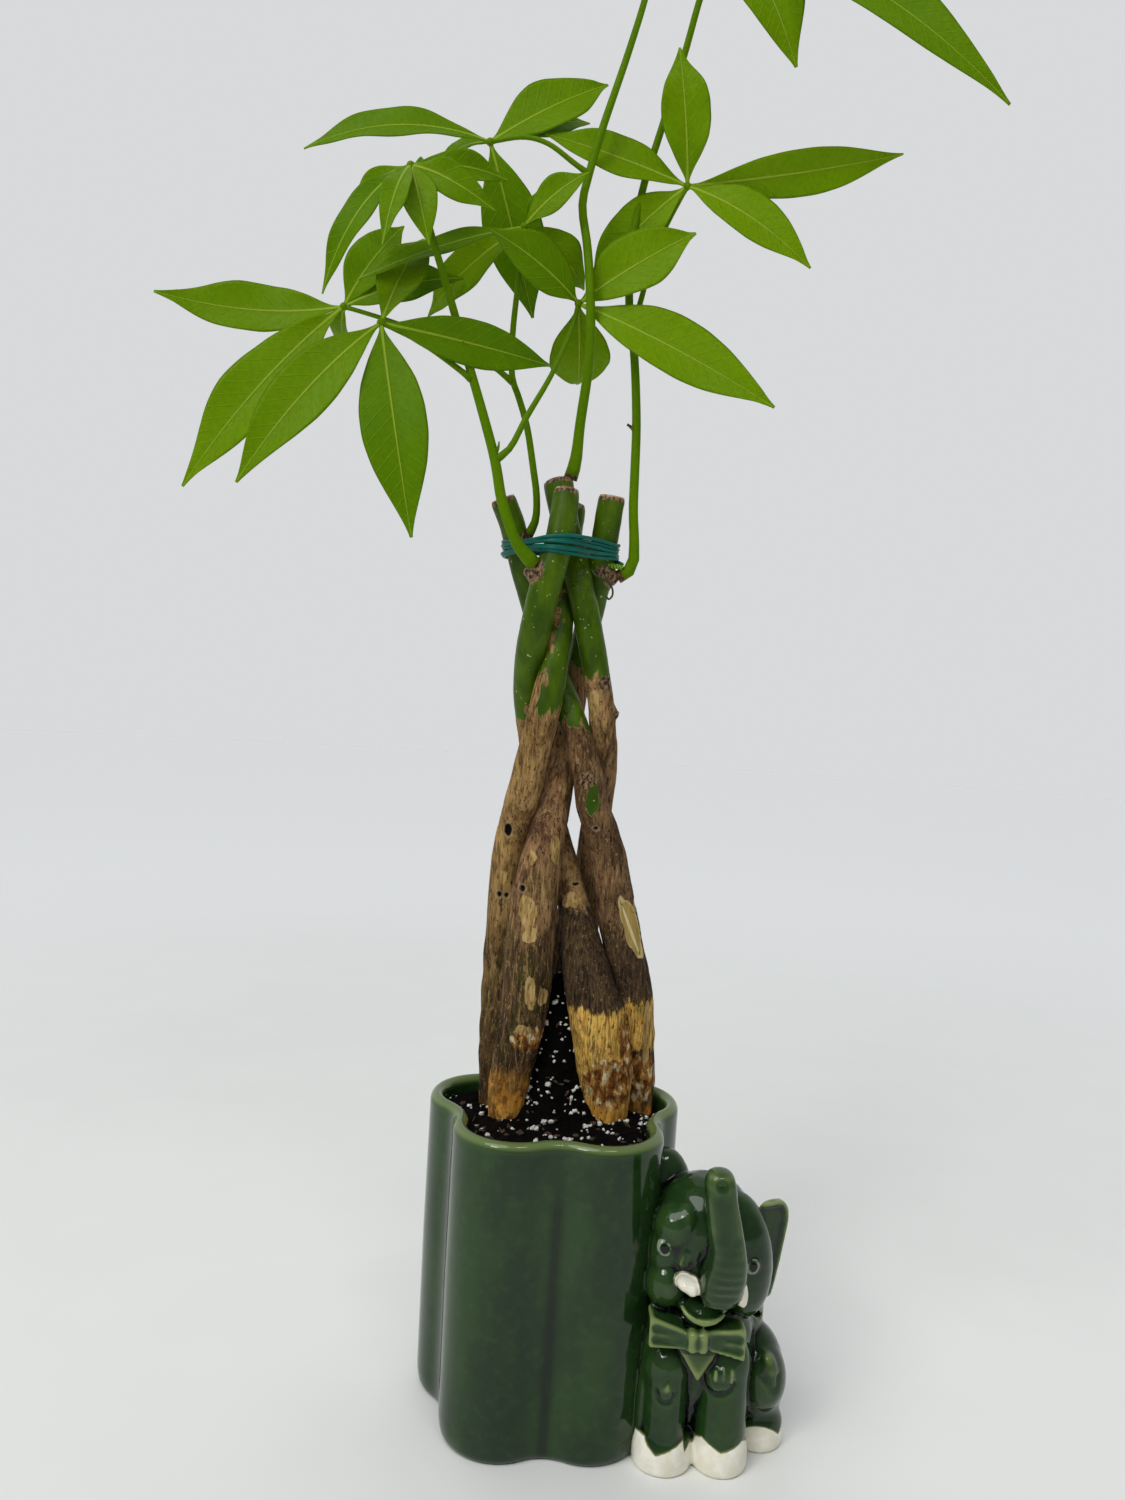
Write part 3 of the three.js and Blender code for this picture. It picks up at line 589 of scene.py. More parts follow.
def bow_wing(knot_x, outer_x, knot_heights, outer_heights):
    """A pleated wing of the bow: rims all round it, and two grooves that fan out from the knot."""
    rings = []
    for i in range(21):
        s = i / 20
        x = knot_x + (outer_x - knot_x) * s
        low = knot_heights[0] + (outer_heights[0] - knot_heights[0]) * s
        high = knot_heights[1] + (outer_heights[1] - knot_heights[1]) * s
        ring = []
        for k in range(37):
            v = 2 * k / 36 - 1
            groove = (0.4 + 1.6 * s) * max(bell(v - 0.32, 0.2), bell(v + 0.42, 0.18))
            rim = 0.9 * max(abs(v) ** 10, s**12, (1 - s) ** 12)
            groove *= 1 - max(abs(v) ** 8, s**10, (1 - s) ** 8)
            ring.append(Vector((x, -52.6 - rim + groove, low + (high - low) * (v + 1) / 2)))
        ring += [Vector((x, -42, high)), Vector((x, -42, low))]
        rings.append(ring)
    return loft(rings if outer_x < knot_x else rings[::-1])


def crescent_lip():
    radii = [0.6 + 0.85 * math.sin(math.pi * k / 39) ** 0.6 for k in range(40)]
    return loft(tube_rings(smooth_line(LIP, 40), radii, 16))


def clay_ear():
    """The right ear: a tapering slab that leans back, hollowed in front of its rim."""
    rings = []
    heights, inner_edge, outer_edge = zip(*EAR)
    for z in np.linspace(heights[0], heights[-1], 60):
        inner, outer = (float(np.interp(z, heights, edge)) for edge in (inner_edge, outer_edge))
        ring = []
        for c, s in circle(48):
            x = (inner + outer) / 2 + bulged(c, 0.7) * (outer - inner) / 2
            y = -28.5 + EAR_SLOPE * (x - 85) + bulged(s, 0.8) * EAR_THICK / 2
            edge = min(outer - x, 103.4 - z, (z - 66) / 2)
            if s < 0 and edge > 1.2:
                y += 2.6 * min(1, (edge - 1.2) / 1.6)
            ring.append(Vector((x, y, float(z))))
        rings.append(ring)
    return loft(rings)


def chest_wedge():
    return loft([[Vector((x, y, z)) for x, z in CHEST] for y in (-38, -48.2, -49)])


def cut_or_join(mesh, other, operation):
    """One solid cut by another, or joined to it."""
    tool = placed("tool", other)
    settings = {"operation": operation, "solver": "MANIFOLD", "object": tool}
    made = applied(mesh, ("BOOLEAN", settings))
    bpy.data.objects.remove(tool)
    return made


def softened(mesh, rounds):
    """One fine skin over the clay, with its edges smoothed."""
    smoothing = ("SMOOTH", {"factor": 0.5, "iterations": rounds})
    return applied(mesh, voxel_skin(ELEPHANT_VOXEL_MM), smoothing)


def inside_ball(places, form, grow):
    """How far each point lies inside a ball of clay that is grown a little, in millimetres."""
    x, y, z, rx, ry, rz, *tilt = form
    local = (places - (x, y, z)) @ np.array(tilted(tilt))
    sizes = np.array((rx, ry, rz)) + grow
    return (1 - np.sqrt(((local / sizes) ** 2).sum(1))) * sizes.mean()


def press_outlines(skin):
    """A groove round the lower half of each knee, as a modelling tool leaves it."""
    places = coordinates(skin) / MM
    pressed = np.zeros(len(places))
    for form in KNEES:
        lower_half = np.clip((form[2] + 0.25 * form[5] - places[:, 2]) / 2, 0, 1)
        pressed = np.maximum(pressed, bell(inside_ball(places, form, 0.3), 0.6) * lower_half)
    move_along(skin, places, -0.8 * pressed)
    return skin


def clay_elephant():
    """The figure's one skin, with its nostril and the hollow by its shoulder cut out."""
    balls = BODY_FORMS + HEAD_FORMS + FOLDS + KNEES + KNEE_FOLDS + TUSKS
    balls += [(x, y + 1.2, z, rx + 0.6, 3, rz + 0.6, *tilt) for x, y, z, rx, _, rz, *tilt in EYES]
    parts = [clay_ball(form) for form in balls]
    parts += [clay_leg(row) for row in LEGS]
    parts += [clay_trunk(), crescent_lip(), clay_ear(), chest_wedge()]
    parts.append(bow_wing(54.9, 40.6, (53.6, 60.8), (53.3, 65.9)))
    parts.append(bow_wing(64.3, 78.9, (53.4, 61.2), (49.8, 62.4)))
    parts += [clay_ball((x, -52.6, 57.5, 1.8, 3.4, 4.3), 0.4) for x in (57.5, 61.7)]
    skin = softened(joined("elephant", parts), 6)
    for hole in (NOSTRIL, VENT):
        skin = cut_or_join(skin, mesh_from("hole", *clay_ball(hole)), "DIFFERENCE")
    return press_outlines(softened(skin, 3))


ELEPHANT = clay_elephant()
print("elephant points:", len(ELEPHANT.vertices))

# %% [markdown]
# The figure is cut back to the pot's wall and joined to it, so that the planter is one closed
# skin. Then each point learns what the glaze needs: how proud it stands, with painted shade where
# the figure meets the wall, and how far it lies inside the cream feet and tusks, the eyes' outlines
# and the pupils.

# %% One cast skin and its glaze masks
FIGURE_MIDDLE = (62, -30)
ON_WALL_MM = 0.02
TOUCHING_WALL_MM = 0.3
# Where the green glaze ends on the feet: degrees round the figure, height.
GLAZE_EDGE = [(-180, 12.5), (-142, 13.2), (-127, 8.8), (-105, 13.2), (-102, 9.4), (-96, 10.9),
              (-89, 9.4), (-78, 14.1), (-62, 10.6), (-38, 13.4), (-20, 9.6), (-6, 12.2), (0, 7.0),
              (9, 10.5), (30, 8.5), (60, 12), (180, 12.5)]


def edge_ends(mesh):
    flat = np.empty(len(mesh.edges) * 2, dtype=np.int64)
    mesh.edges.foreach_get("vertices", flat)
    return flat.reshape(-1, 2)


def neighbour_mean(values, ends, count):
    """Each point's mean of its neighbours' values."""
    total = np.zeros((count, *values.shape[1:]))
    np.add.at(total, ends[:, 0], values[ends[:, 1]])
    np.add.at(total, ends[:, 1], values[ends[:, 0]])
    links = np.bincount(ends.ravel(), minlength=count).astype(float)
    return total / links.reshape(-1, *[1] * (values.ndim - 1))


def relax(places, ends, rounds, share=0.5):
    for _ in range(rounds):
        places = places + share * (neighbour_mean(places, ends, len(places)) - places)
    return places


def proudness(mesh, rounds):
    """How far each point stands off its relaxed surroundings: above 0 on edges, below in grooves."""
    places, ends = coordinates(mesh) / MM, edge_ends(mesh)
    stands = ((places - relax(places, ends, rounds)) * normals(mesh)).sum(1)
    return relax(stands, ends, 4)


def cast_planter():
    core = mesh_from("core", *loft([pot_ring(3, -1, 12, 5), pot_ring(3, POT_HEIGHT + 1, 12, 5)]))
    return cut_or_join(POT, cut_or_join(ELEPHANT, core, "DIFFERENCE"), "UNION")


def wall_distance(places):
    """How far each point stands off the pot's wall, in millimetres."""
    faces = [tuple(f.vertices) for f in POT.polygons]
    wall = BVHTree.FromPolygons([Vector(p) for p in coordinates(POT)], faces)
    return np.array([wall.find_nearest(Vector(p) * MM)[3] / MM for p in places])


def glaze_and_joint_shade(mesh, places, off_wall):
    """Above 0 on thin glaze over edges, below 0 in pooled glaze and in the joint's painted shade."""
    on_wall = off_wall < ON_WALL_MM
    around = np.arctan2(places[:, 1], places[:, 0]) - FIRST_LOBE_ANGLE
    from_notch = np.abs((around % (2 * math.pi / LOBES)) - math.pi / LOBES)
    pooled = bell(from_notch, 0.075) * np.clip((122 - places[:, 2]) / 20, 0, 1)
    wall_glaze = 1.55 * bell(places[:, 2] - 129, 2.6) - 0.8 * pooled
    stands = proudness(mesh, 16) / 0.2
    print("proudness, middle half:", np.percentile(stands[~on_wall], (25, 50, 75)).round(2))
    x, y, z = places.T
    bow = (y < -51.3) & (z > 49.4) & (z < 66.4) & (x > 39) & (x < 80)
    chest = (y < -47.6) & (z > 37) & (z < 50) & (np.abs(x - 60.7) < 0.6 * (z - 36.5))
    stands = np.where(bow, 0.65 * stands + 0.75, np.where(chest, 0.5 * stands + 1.1, stands))
    # The last term darkens the figure near the wall: partly pooled glaze, partly painted shade.
    figure_glaze_and_shade = stands * np.clip(off_wall / 2.5, 0.25, 1) - np.exp(-off_wall / 0.9)
    return np.where(on_wall, wall_glaze, figure_glaze_and_shade)


def mark_planter(mesh):
    places = coordinates(mesh) / MM
    off_wall = wall_distance(places)
    turn = np.degrees(np.arctan2(places[:, 1] - FIGURE_MIDDLE[1], places[:, 0] - FIGURE_MIDDLE[0]))
    feet = np.minimum(np.interp(turn, *zip(*GLAZE_EDGE)) - places[:, 2], 3)
    feet = np.where(off_wall > TOUCHING_WALL_MM, feet, -5)
    tusks = np.max([inside_ball(places, form, 0.5) for form in TUSKS], axis=0)
    rings, pupils = [], []
    for eye in EYES:
        rings.append(np.minimum(inside_ball(places, eye, 0.3), -inside_ball(places, eye, -0.45)))
        x, y, z, rx, ry, rz, *tilt = eye
        pupils.append(inside_ball(places, (x, y, z, rx - 0.75, ry, rz - 0.85, *tilt), 0))
    keep_values(mesh, "proud", np.clip(glaze_and_joint_shade(mesh, places, off_wall), -2, 2))
    keep_values(mesh, "cream", np.clip(np.maximum(feet, tusks), -5, 5))
    keep_values(mesh, "eye_ring", np.clip(np.max(rings, axis=0), -2, 2))
    keep_values(mesh, "pupil", np.clip(np.max(pupils, axis=0), -2, 2))


PLANTER = cast_planter()
mark_planter(PLANTER)
piece("glazed_planter", PLANTER, GLAZE, "glazed ceramic", "planter")

# %% [markdown]
# ## Leafy shoots
# A money tree's leaf is a hand of leaflets on one stalk. Each leaflet is a thin blade that narrows
# to a stalk at its foot and to a drip tip at its end. Photographs of such plants tempt one to use
# flat cards, but the fold along the midrib, the quilting between the side veins and the wavy edge
# catch the light, so each leaflet is a closed shell of its own. Every point keeps its distance
# along and across the blade, which lets the material draw the veins where they grow.

# %% Leaf material
VEIN_SPACING_MM = 6.5
VEIN_SLOPE = 1.05


def living_leaf():
    material, tree, shader = new_material("money tree leaf")
    off = calc(tree, "ABSOLUTE", kept(tree, "across"))
    bent = calc(tree, "MULTIPLY", calc(tree, "POWER", off, VEIN_SLOPE), 0.9)
    sweep = calc(tree, "SUBTRACT", kept(tree, "along"), bent)
    turn = calc(tree, "FRACT", calc(tree, "DIVIDE", sweep, VEIN_SPACING_MM))
    side_vein = band(tree, calc(tree, "SUBTRACT", turn, 0.5), 0.07, 0.015)
    rib = ramp(tree, calc(tree, "SUBTRACT", off, kept(tree, "rib")), 0.22, -0.12)
    veined = kept(tree, "veined")
    cells = ramp(tree, grain(tree, 1.6, 4.0), 0.35, 0.7)
    husk = mix(tree, ramp(tree, grain(tree, 1.0, 3.0), 0.35, 0.65), "#2b1d12", "#7c6244")
    blade = layered(
        tree, mix(tree, kept(tree, "tone"), "#426a01", "#729203"),
        (ramp(tree, grain(tree, 18, 3.0), 0.3, 0.72), "#668804", 0.35),
        (cells, "#3a5c02", 0.22),
        (calc(tree, "MULTIPLY", side_vein, veined), "#88a80c", 0.24),
        (rib, "#9cb636", 0.65),
        (ramp(tree, kept(tree, "margin"), 0.93, 1.0), "#3f5c06", 0.5),
        (kept(tree, "under"), "#789a10", 0.45),
        (ramp(tree, kept(tree, "husk"), 0.0, 0.25), husk),
    )
    veins = calc(tree, "ADD", side_vein, calc(tree, "MULTIPLY", rib, 2.0))
    normal = relief(tree, calc(tree, "MULTIPLY", veins, veined), -0.16)
    set_inputs(tree, shader, {
        "Base Color": blade, "Roughness": ramp(tree, cells, 0.0, 1.0, 0.36, 0.5),
        "Normal": relief(tree, grain(tree, 1.2, 3.0), 0.05, normal), "IOR": 1.4,
        "Specular IOR Level": 0.06, "Subsurface Weight": 0.2,
        "Subsurface Radius": (0.6, 1.0, 0.15), "Subsurface Scale": 0.0012,
    })
    return material


LEAF = living_leaf()
print("leaf nodes:", len(LEAF.node_tree.nodes))

# %% [markdown]
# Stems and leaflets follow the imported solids' own lines. The tables below also hold what a close
# look at a shoot adds: small side buds, and the spots where its skin is brown and husky.

# %% Where stems and leaflets grow
# Stems and stalks, base to tip: start radius, end radius, centre points.
STEMS = {
    "shoot_left": [
        (2.5, 1.2, [(-24, -6, 360.5), (-31.4, -10, 368), (-35.6, -12, 377), (-39, -12, 386),
         (-41, -12, 395), (-43, -12, 403), (-49, -13, 421), (-54, -15, 435), (-60, -18, 452),
         (-65, -20, 466), (-72, -23, 485), (-77, -25, 499), (-82, -26, 512)]),
        (1.4, 0.9, [(-43, -12, 401), (-37, -13, 406), (-31, -9, 420), (-21, 1, 443), (-14, 8, 465),
         (-12, 9, 475)]),
        (1.3, 0.9, [(-54, -15, 433), (-62, -17, 438), (-75, -20, 445), (-91, -22, 451)]),
    ],
    "shoot_centre": [
        (1.6, 1.1, [(-28, 16, 375), (-25, 15, 382), (-25, 13, 392), (-27, 10, 403), (-31, 6, 421),
         (-35, 4, 432), (-38, 3, 439), (-39, 2, 449), (-39, 1, 461), (-38, 0, 479), (-37, 0, 502)]),
        (1.2, 0.9, [(-38, 3, 438), (-45, 3, 443), (-60, 3, 451), (-79, 4, 457), (-96, 5, 462),
         (-112, 6, 466)]),
    ],
    "shoot_back": [
        (2.3, 1.2, [(-10.8, 17.8, 401.6), (-9, 16, 409), (-8, 14, 425), (-6, 8, 448), (-6, 4, 460),
         (-7, 1, 473), (-8, 1, 483), (-10, 3, 498), (-13, 4, 515), (-11, 3, 527), (-7, 2, 544),
         (2, 3, 577), (8, 5, 602), (11, 9, 621), (14, 14, 636)]),
        (1.2, 0.9, [(-11, 3, 527), (-18, 2, 531), (-29, 2, 538), (-39, 4, 541), (-54, 8, 540)]),
    ],
    "shoot_right": [
        (2.2, 1.3, [(12.8, 18.2, 360), (18.7, 17.2, 364.5), (19.2, 16, 374), (17.8, 15.5, 389),
         (17.3, 15.5, 407), (16.7, 16, 427), (14, 17, 456), (12, 17, 468), (10, 17, 481),
         (10, 16, 506), (13, 15, 529), (19, 14, 553), (27, 10, 585), (32, 6, 607), (40, 0, 630)]),
        (1.3, 0.9, [(12, 17, 467), (15, 16, 480), (18, 15, 494), (23, 14, 510), (32, 14, 530)]),
    ],
}
# Small side buds, as short stems that end in a point.
BUDS = {
    "shoot_left": [
        (1.0, 0.25, [(-43, -12, 403.5), (-41.6, -12.6, 406), (-41.2, -12.8, 409)]),
        (0.8, 0.2, [(-43.4, -12, 403.5), (-43, -13.4, 405.5), (-43.4, -13.8, 407.6)]),
    ],
    "shoot_right": [
        (1.1, 0.5, [(16.6, 15.8, 423.5), (14.4, 15, 425.4), (12.6, 14.6, 426.4)]),
    ],
}
# Where a shoot's skin is brown: its base, the scars of dropped leaves, a dead bud: x, y, z, reach.
BROWN_SPOTS = [
    (-24, -6, 360.5, 3.6), (-31.8, -10, 368.6, 2.62), (-28, 16, 375, 3.2),
    (-24.9, 12.4, 395.5, 1.72), (-10.8, 17.8, 401.6, 4.4), (12.8, 18.2, 360, 4.6),
    (13, 14.7, 426.2, 2.4), (-5.6, 5, 459, 1.98), (-51, -14, 426, 2.02), (14, 17, 456, 1.95),
]
# Whorls: the hub where the stalk ends, then for each leaflet its tip x, y, z, its width, its arch
# and its roll in degrees.
WHORLS = {
    "shoot_left": [
        ((-82, -26, 512), [(-112, -36, 456, 13, 10, 10), (-87, -52, 470, 11, 6, 0),
         (-71, -40, 476, 15, 5, 0), (-47, -32, 494, 14, 7, 15), (-44, -12, 515, 13, 5, 10),
         (-71, 6, 517, 11, 4, 0), (-109, -4, 500, 11, 5, 0)]),
        ((-91, -22, 451), [(-140, -42, 380, 25, 8, 0), (-72, -36, 364, 27, 7, 0),
         (-22, 0, 445, 19, 7, 25), (-79, 2, 495, 20, 4, 0)]),
        ((-12, 9, 475), [(-50, -12, 495, 23, 4, 0), (36, 4, 506, 28, 3, 0), (72, -10, 431, 28, 4, 0),
         (-10, 45, 451, 28, 6, 0)]),
    ],
    "shoot_centre": [
        ((-112, 6, 466), [(-192, 3, 466, 24, -8, 0), (-172, -8, 383, 27, 8, 0),
         (-62, 8, 482, 18, 5, 0), (-89, 10, 503, 21, 4, 0), (-113, 36, 457, 12, 4, 0)]),
        ((-37, 0, 502), [(-102, -20, 468, 13, 3, 20), (-79, 30, 472, 20, 6, 0),
         (-11, -3, 525, 14, 4, 0), (-10, 20, 485, 20, 5, 0), (-22, 10, 524, 12, 2, 0)]),
    ],
    "shoot_back": [
        ((-54, 8, 540), [(-131, 0, 528, 19, 9, 15), (-5, 26, 577, 25, 3, 0),
         (-12, 34, 564, 17, 4, 0), (-32, 28, 474, 27, 3, 0), (-77, 22, 535, 13, 3, 20)]),
        ((14, 14, 636), [(-34, -30, 612, 19, 6, 0), (-50, 16, 657, 22, 6, 0),
         (-26, 62, 674, 24, 6, 0), (18, 26, 706, 22, 5, 0), (58, 56, 660, 20, 6, 0)]),
    ],
    "shoot_right": [
        ((32, 14, 530), [(24, 5, 583, 22, 5, 0), (123, 8, 547, 19, 9, 45), (85, 0, 493, 22, 6, 0),
         (-31, 10, 546, 20, 2, 0), (-7, 30, 491, 23, 6, 0)]),
        ((40, 0, 630), [(72, -6, 572, 28, 7, 0), (156, -22, 554, 27, 12, 0),
         (112, -48, 650, 24, 7, 0), (66, -10, 704, 24, 6, 0), (4, -40, 664, 22, 6, 0),
         (92, 54, 640, 24, 7, 0)]),
    ],
}
# A leaflet's half-width along its length, as a share of its widest half.
LEAF_OUTLINE = [(0, 0.05), (0.05, 0.075), (0.12, 0.27), (0.2, 0.52), (0.32, 0.82), (0.45, 0.97),
                (0.58, 0.97), (0.7, 0.8), (0.8, 0.54), (0.88, 0.31), (0.94, 0.15), (1, 0.03)]
LIGHT = Vector((0, -0.97, 0.24))
print("leaflets:", sum(len(leaflets) for rows in WHORLS.values() for _, leaflets in rows))

# %% [markdown]
# A leaflet is lofted from closed sections. Its upper side is folded up a little from the midrib,
# bulges between the side veins and waves near its margin. Its lower side carries the thick rib.

# %% Leaflets and stems
BLADE_EDGE_MM = 0.36
RIB_MM = 1.5
STALK_HALF_MM = 0.85
KNOB_RADIUS_MM = 1.75
STEM_SIDES = 14
STATIONS = 46
ACROSS = 6
KEPT_ON_LEAVES = ("along", "across", "tone", "veined", "rib", "margin", "under")


class Growth:
    """Gathers the points, faces and kept values of one shoot."""

    def __init__(self):
        self.points, self.faces, self.values = [], [], []

    def add(self, rings, values):
        first = len(self.points)
        points, faces = loft(rings)
        self.points += points
        self.faces += [tuple(first + i for i in face) for face in faces]
        self.values += values

    def mesh(self, name):
        made = mesh_from(name, self.points, self.faces)
        for key, values in zip(KEPT_ON_LEAVES, zip(*self.values)):
            keep_values(made, key, values)
        return made


def leaf_stations():
    """Shares of a leaflet's length, bunched at its ends, and its half-width at each of them."""
    bunched = [0.5 - 0.5 * math.cos(math.pi * i / STATIONS) for i in range(STATIONS + 1)]
    stations = [0.35 * share + 0.65 * i / STATIONS for i, share in enumerate(bunched)]
    halves = np.pad(np.interp(stations, *zip(*LEAF_OUTLINE)), 2, mode="edge")
    return list(zip(stations, np.convolve(halves, (0.1, 0.2, 0.4, 0.2, 0.1), mode="valid")))


def leaflet(growth, hub, row, chance):
    """A closed blade from the hub to its tip: arched, quilted between its veins and wavy."""
    *tip, width, arch, roll = row
    chord = Vector(tip) - hub
    along = chord.normalized()
    up = (LIGHT - along * LIGHT.dot(along)).normalized()
    up.rotate(Matrix.Rotation(math.radians(roll), 3, along))
    tone = chance.uniform(0.25, 0.95)
    waves, phase = chance.uniform(1.6, 2.8), chance.uniform(0, 6.28)
    amount = chance.uniform(0.5, 1.1)
    columns = [bulged(1 - k / ACROSS, 0.8) for k in range(2 * ACROSS + 1)]
    sides = [(1, v) for v in columns] + [(-1, v) for v in reversed(columns)]
    rings, values = [], []
    for s, share in leaf_stations():
        centre = hub + chord * s + up * (4 * arch * s * (1 - s))
        tangent = (chord + up * (4 * arch * (1 - 2 * s))).normalized()
        normal = (up - tangent * up.dot(tangent)).normalized()
        side = normal.cross(tangent)
        half = max(share * width / 2, STALK_HALF_MM * (1 - 0.75 * s))
        blade = min(1.0, half / 3) * min(1.0, 7 * s)
        rib = 0.5 * RIB_MM * (1 - 0.68 * s)
        ring, kept_here = [], []
        for face, v in sides:
            off = abs(v) * half
            wave = math.sin(2 * math.pi * waves * s + phase + (0.8 if v > 0 else 0))
            vein = math.sin(math.pi * ((s * chord.length - 0.9 * off) / VEIN_SPACING_MM - 0.5)) ** 2
            quilt = 0.22 * (vein - 0.5) * (1 - v * v) * min(1, off / 1.5)
            lift = 0.16 * off * blade + (0.05 * half + amount * wave) * v * v * blade
            lift += quilt * min(1, half / 6) * min(1, 7 * s)
            swell = rib * bell(off, max(0.85 * rib, 0.3))
            thick = 0.5 * BLADE_EDGE_MM + (0.25 * swell if face > 0 else swell)
            groove = 0.12 * blade * bell(off, 0.5) if face > 0 else 0
            ring.append(centre + side * (v * half) + normal * (lift + face * thick - groove))
            rib_half, margin, under = 0.42 * (1.25 - s), abs(v) * blade, float(face < 0)
            kept_here.append((s * chord.length, v * half, tone, blade, rib_half, margin, under))
        rings.append(ring[::-1])
        values += kept_here[::-1]
    growth.add(rings, values)


def stem(growth, row):
    """A stalk or stem: round, a little swollen where it starts and ends."""
    start, end, centres = row
    line = smooth_line(centres, max(12, 3 * len(centres) + 4))
    shares = np.linspace(0, 1, len(line))
    swollen = 0.35 * bell(shares, 0.05) + 0.3 * bell(1 - shares, 0.03)
    radii = (start + (end - start) * shares) * (1 + swollen)
    lengths = np.linspace(0, 40, len(line))
    kept_here = [(d, 3.0, 0.35, 0.0, 0.2, 0.0, 0.0) for d in lengths for _ in range(STEM_SIDES)]
    growth.add(tube_rings(line, radii, STEM_SIDES), kept_here)


def hub_knob(growth, hub):
    """The small knob where a whorl's stalk ends."""
    rings = []
    for low in (math.pi * i / 8 for i in range(1, 8)):
        flat, height = math.sin(low), -math.cos(low)
        ring = [Vector((flat * c, flat * s, height)) for c, s in circle(STEM_SIDES)]
        rings.append([hub + KNOB_RADIUS_MM * p for p in ring])
    growth.add(rings, [(0.0, 3.0, 0.6, 0.0, 0.2, 0.0, 0.0)] * (7 * STEM_SIDES))


def grow_shoot(name):
    chance = random.Random(name)
    growth = Growth()
    for row in STEMS[name]:
        stem(growth, row)
    for hub, leaflets in WHORLS[name]:
        hub_knob(growth, Vector(hub))
        for row in leaflets:
            leaflet(growth, Vector(hub), row, chance)
    for row in BUDS.get(name, []):
        stem(growth, row)
    mesh = growth.mesh(name)
    places = coordinates(mesh) / MM
    reaches = [spot[3] - np.linalg.norm(places - spot[:3], axis=1) for spot in BROWN_SPOTS]
    keep_values(mesh, "husk", np.clip(np.max(reaches, axis=0), -2, 2))
    piece(f"{name}_leaves", mesh, LEAF, "leaf", name)


for shoot_name in STEMS:
    grow_shoot(shoot_name)

# %% [markdown]
# ## Trunks: the bark
# A young trunk of this tree is smooth and green at the top. Lower down cork breaks through the
# green skin with ragged pale edges, and the foot turns fibrous, dark and then orange where it was
# wet. These zones belong to places on each trunk, so the mesh keeps how many millimetres each
# point lies inside a zone, and the material frays the borders along the grain.

# %% Bark material
def bark_ground(tree, cloud, fibre, streak, mossy):
    """Tan and red cork, darker and greener near the soil, with charred, frayed and wet feet."""
    patches = ramp(tree, cloud, 0.35, 0.65)
    tan_bark = mix(tree, patches, "#8a6a3c", "#b8945a")
    red_bark = mix(tree, patches, "#5e412d", "#9c7552")
    olive = ramp(tree, grain(tree, 12, 3.0, (1, 1, 0.4)), 0.50, 0.62)
    low_dark = ramp(tree, grain(tree, 8, 4.0, (1, 1, 0.35)), 0.48, 0.62)
    burnt = mix(tree, ramp(tree, fibre, 0.36, 0.66), "#1b1611", "#594530")
    straw = mix(tree, ramp(tree, fibre, 0.3, 0.66), "#b4802b", "#efc468")
    orange = mix(tree, ramp(tree, cloud, 0.3, 0.7), "#bb7320", "#eeb250")
    flakes = grain(tree, 3.2, 2.0, (1, 1, 0.6), 0.45)
    peeling = mix(tree, ramp(tree, flakes, 0.46, 0.5), "#75451c", "#ab7a3a")
    char = ragged_mask(tree, "char", 9.0, 2.6, (1, 1, 0.1), 2.0)
    wet = ragged_mask(tree, "wet", 8.0, 8.0, (1, 1, 0.6), 7.0)
    wet = calc(tree, "MULTIPLY", wet, ramp(tree, grain(tree, 6, 3.0), 0.4, 0.56, 0.35, 1))
    ground = layered(
        tree, mix(tree, kept(tree, "red"), tan_bark, red_bark),
        (calc(tree, "MULTIPLY", olive, mossy), "#5b5a20"),
        (calc(tree, "MULTIPLY", low_dark, mossy), "#2a1e14"),
        (ramp(tree, mossy, 0.2, 0.9, 0, 0.5), "#2f2414"),
        (ramp(tree, streak, 0.55, 0.62, 0, 0.45), "#c4a168"),
        # Painted shade: the bark is darkened by height where shade falls on each trunk.
        (kept(tree, "painted_shade"), "#281b11"),
        (char, mix(tree, ramp(tree, cloud, 0.38, 0.66, 0, 0.5), burnt, "#664f33")),
        (ragged_mask(tree, "frayed", 8.0, 2.6, (1, 1, 0.12), 1.0),
         mix(tree, ramp(tree, cloud, 0.5, 0.72, 0, 0.75), straw, "#74601e")),
        (wet, orange),
        (ragged_mask(tree, "peeling", 5.0, 3.0, (1, 1, 0.6), 1.0),
         mix(tree, ramp(tree, flakes, 0.58, 0.61), peeling, "#d8c69c")),
    )
    return ground, char, wet


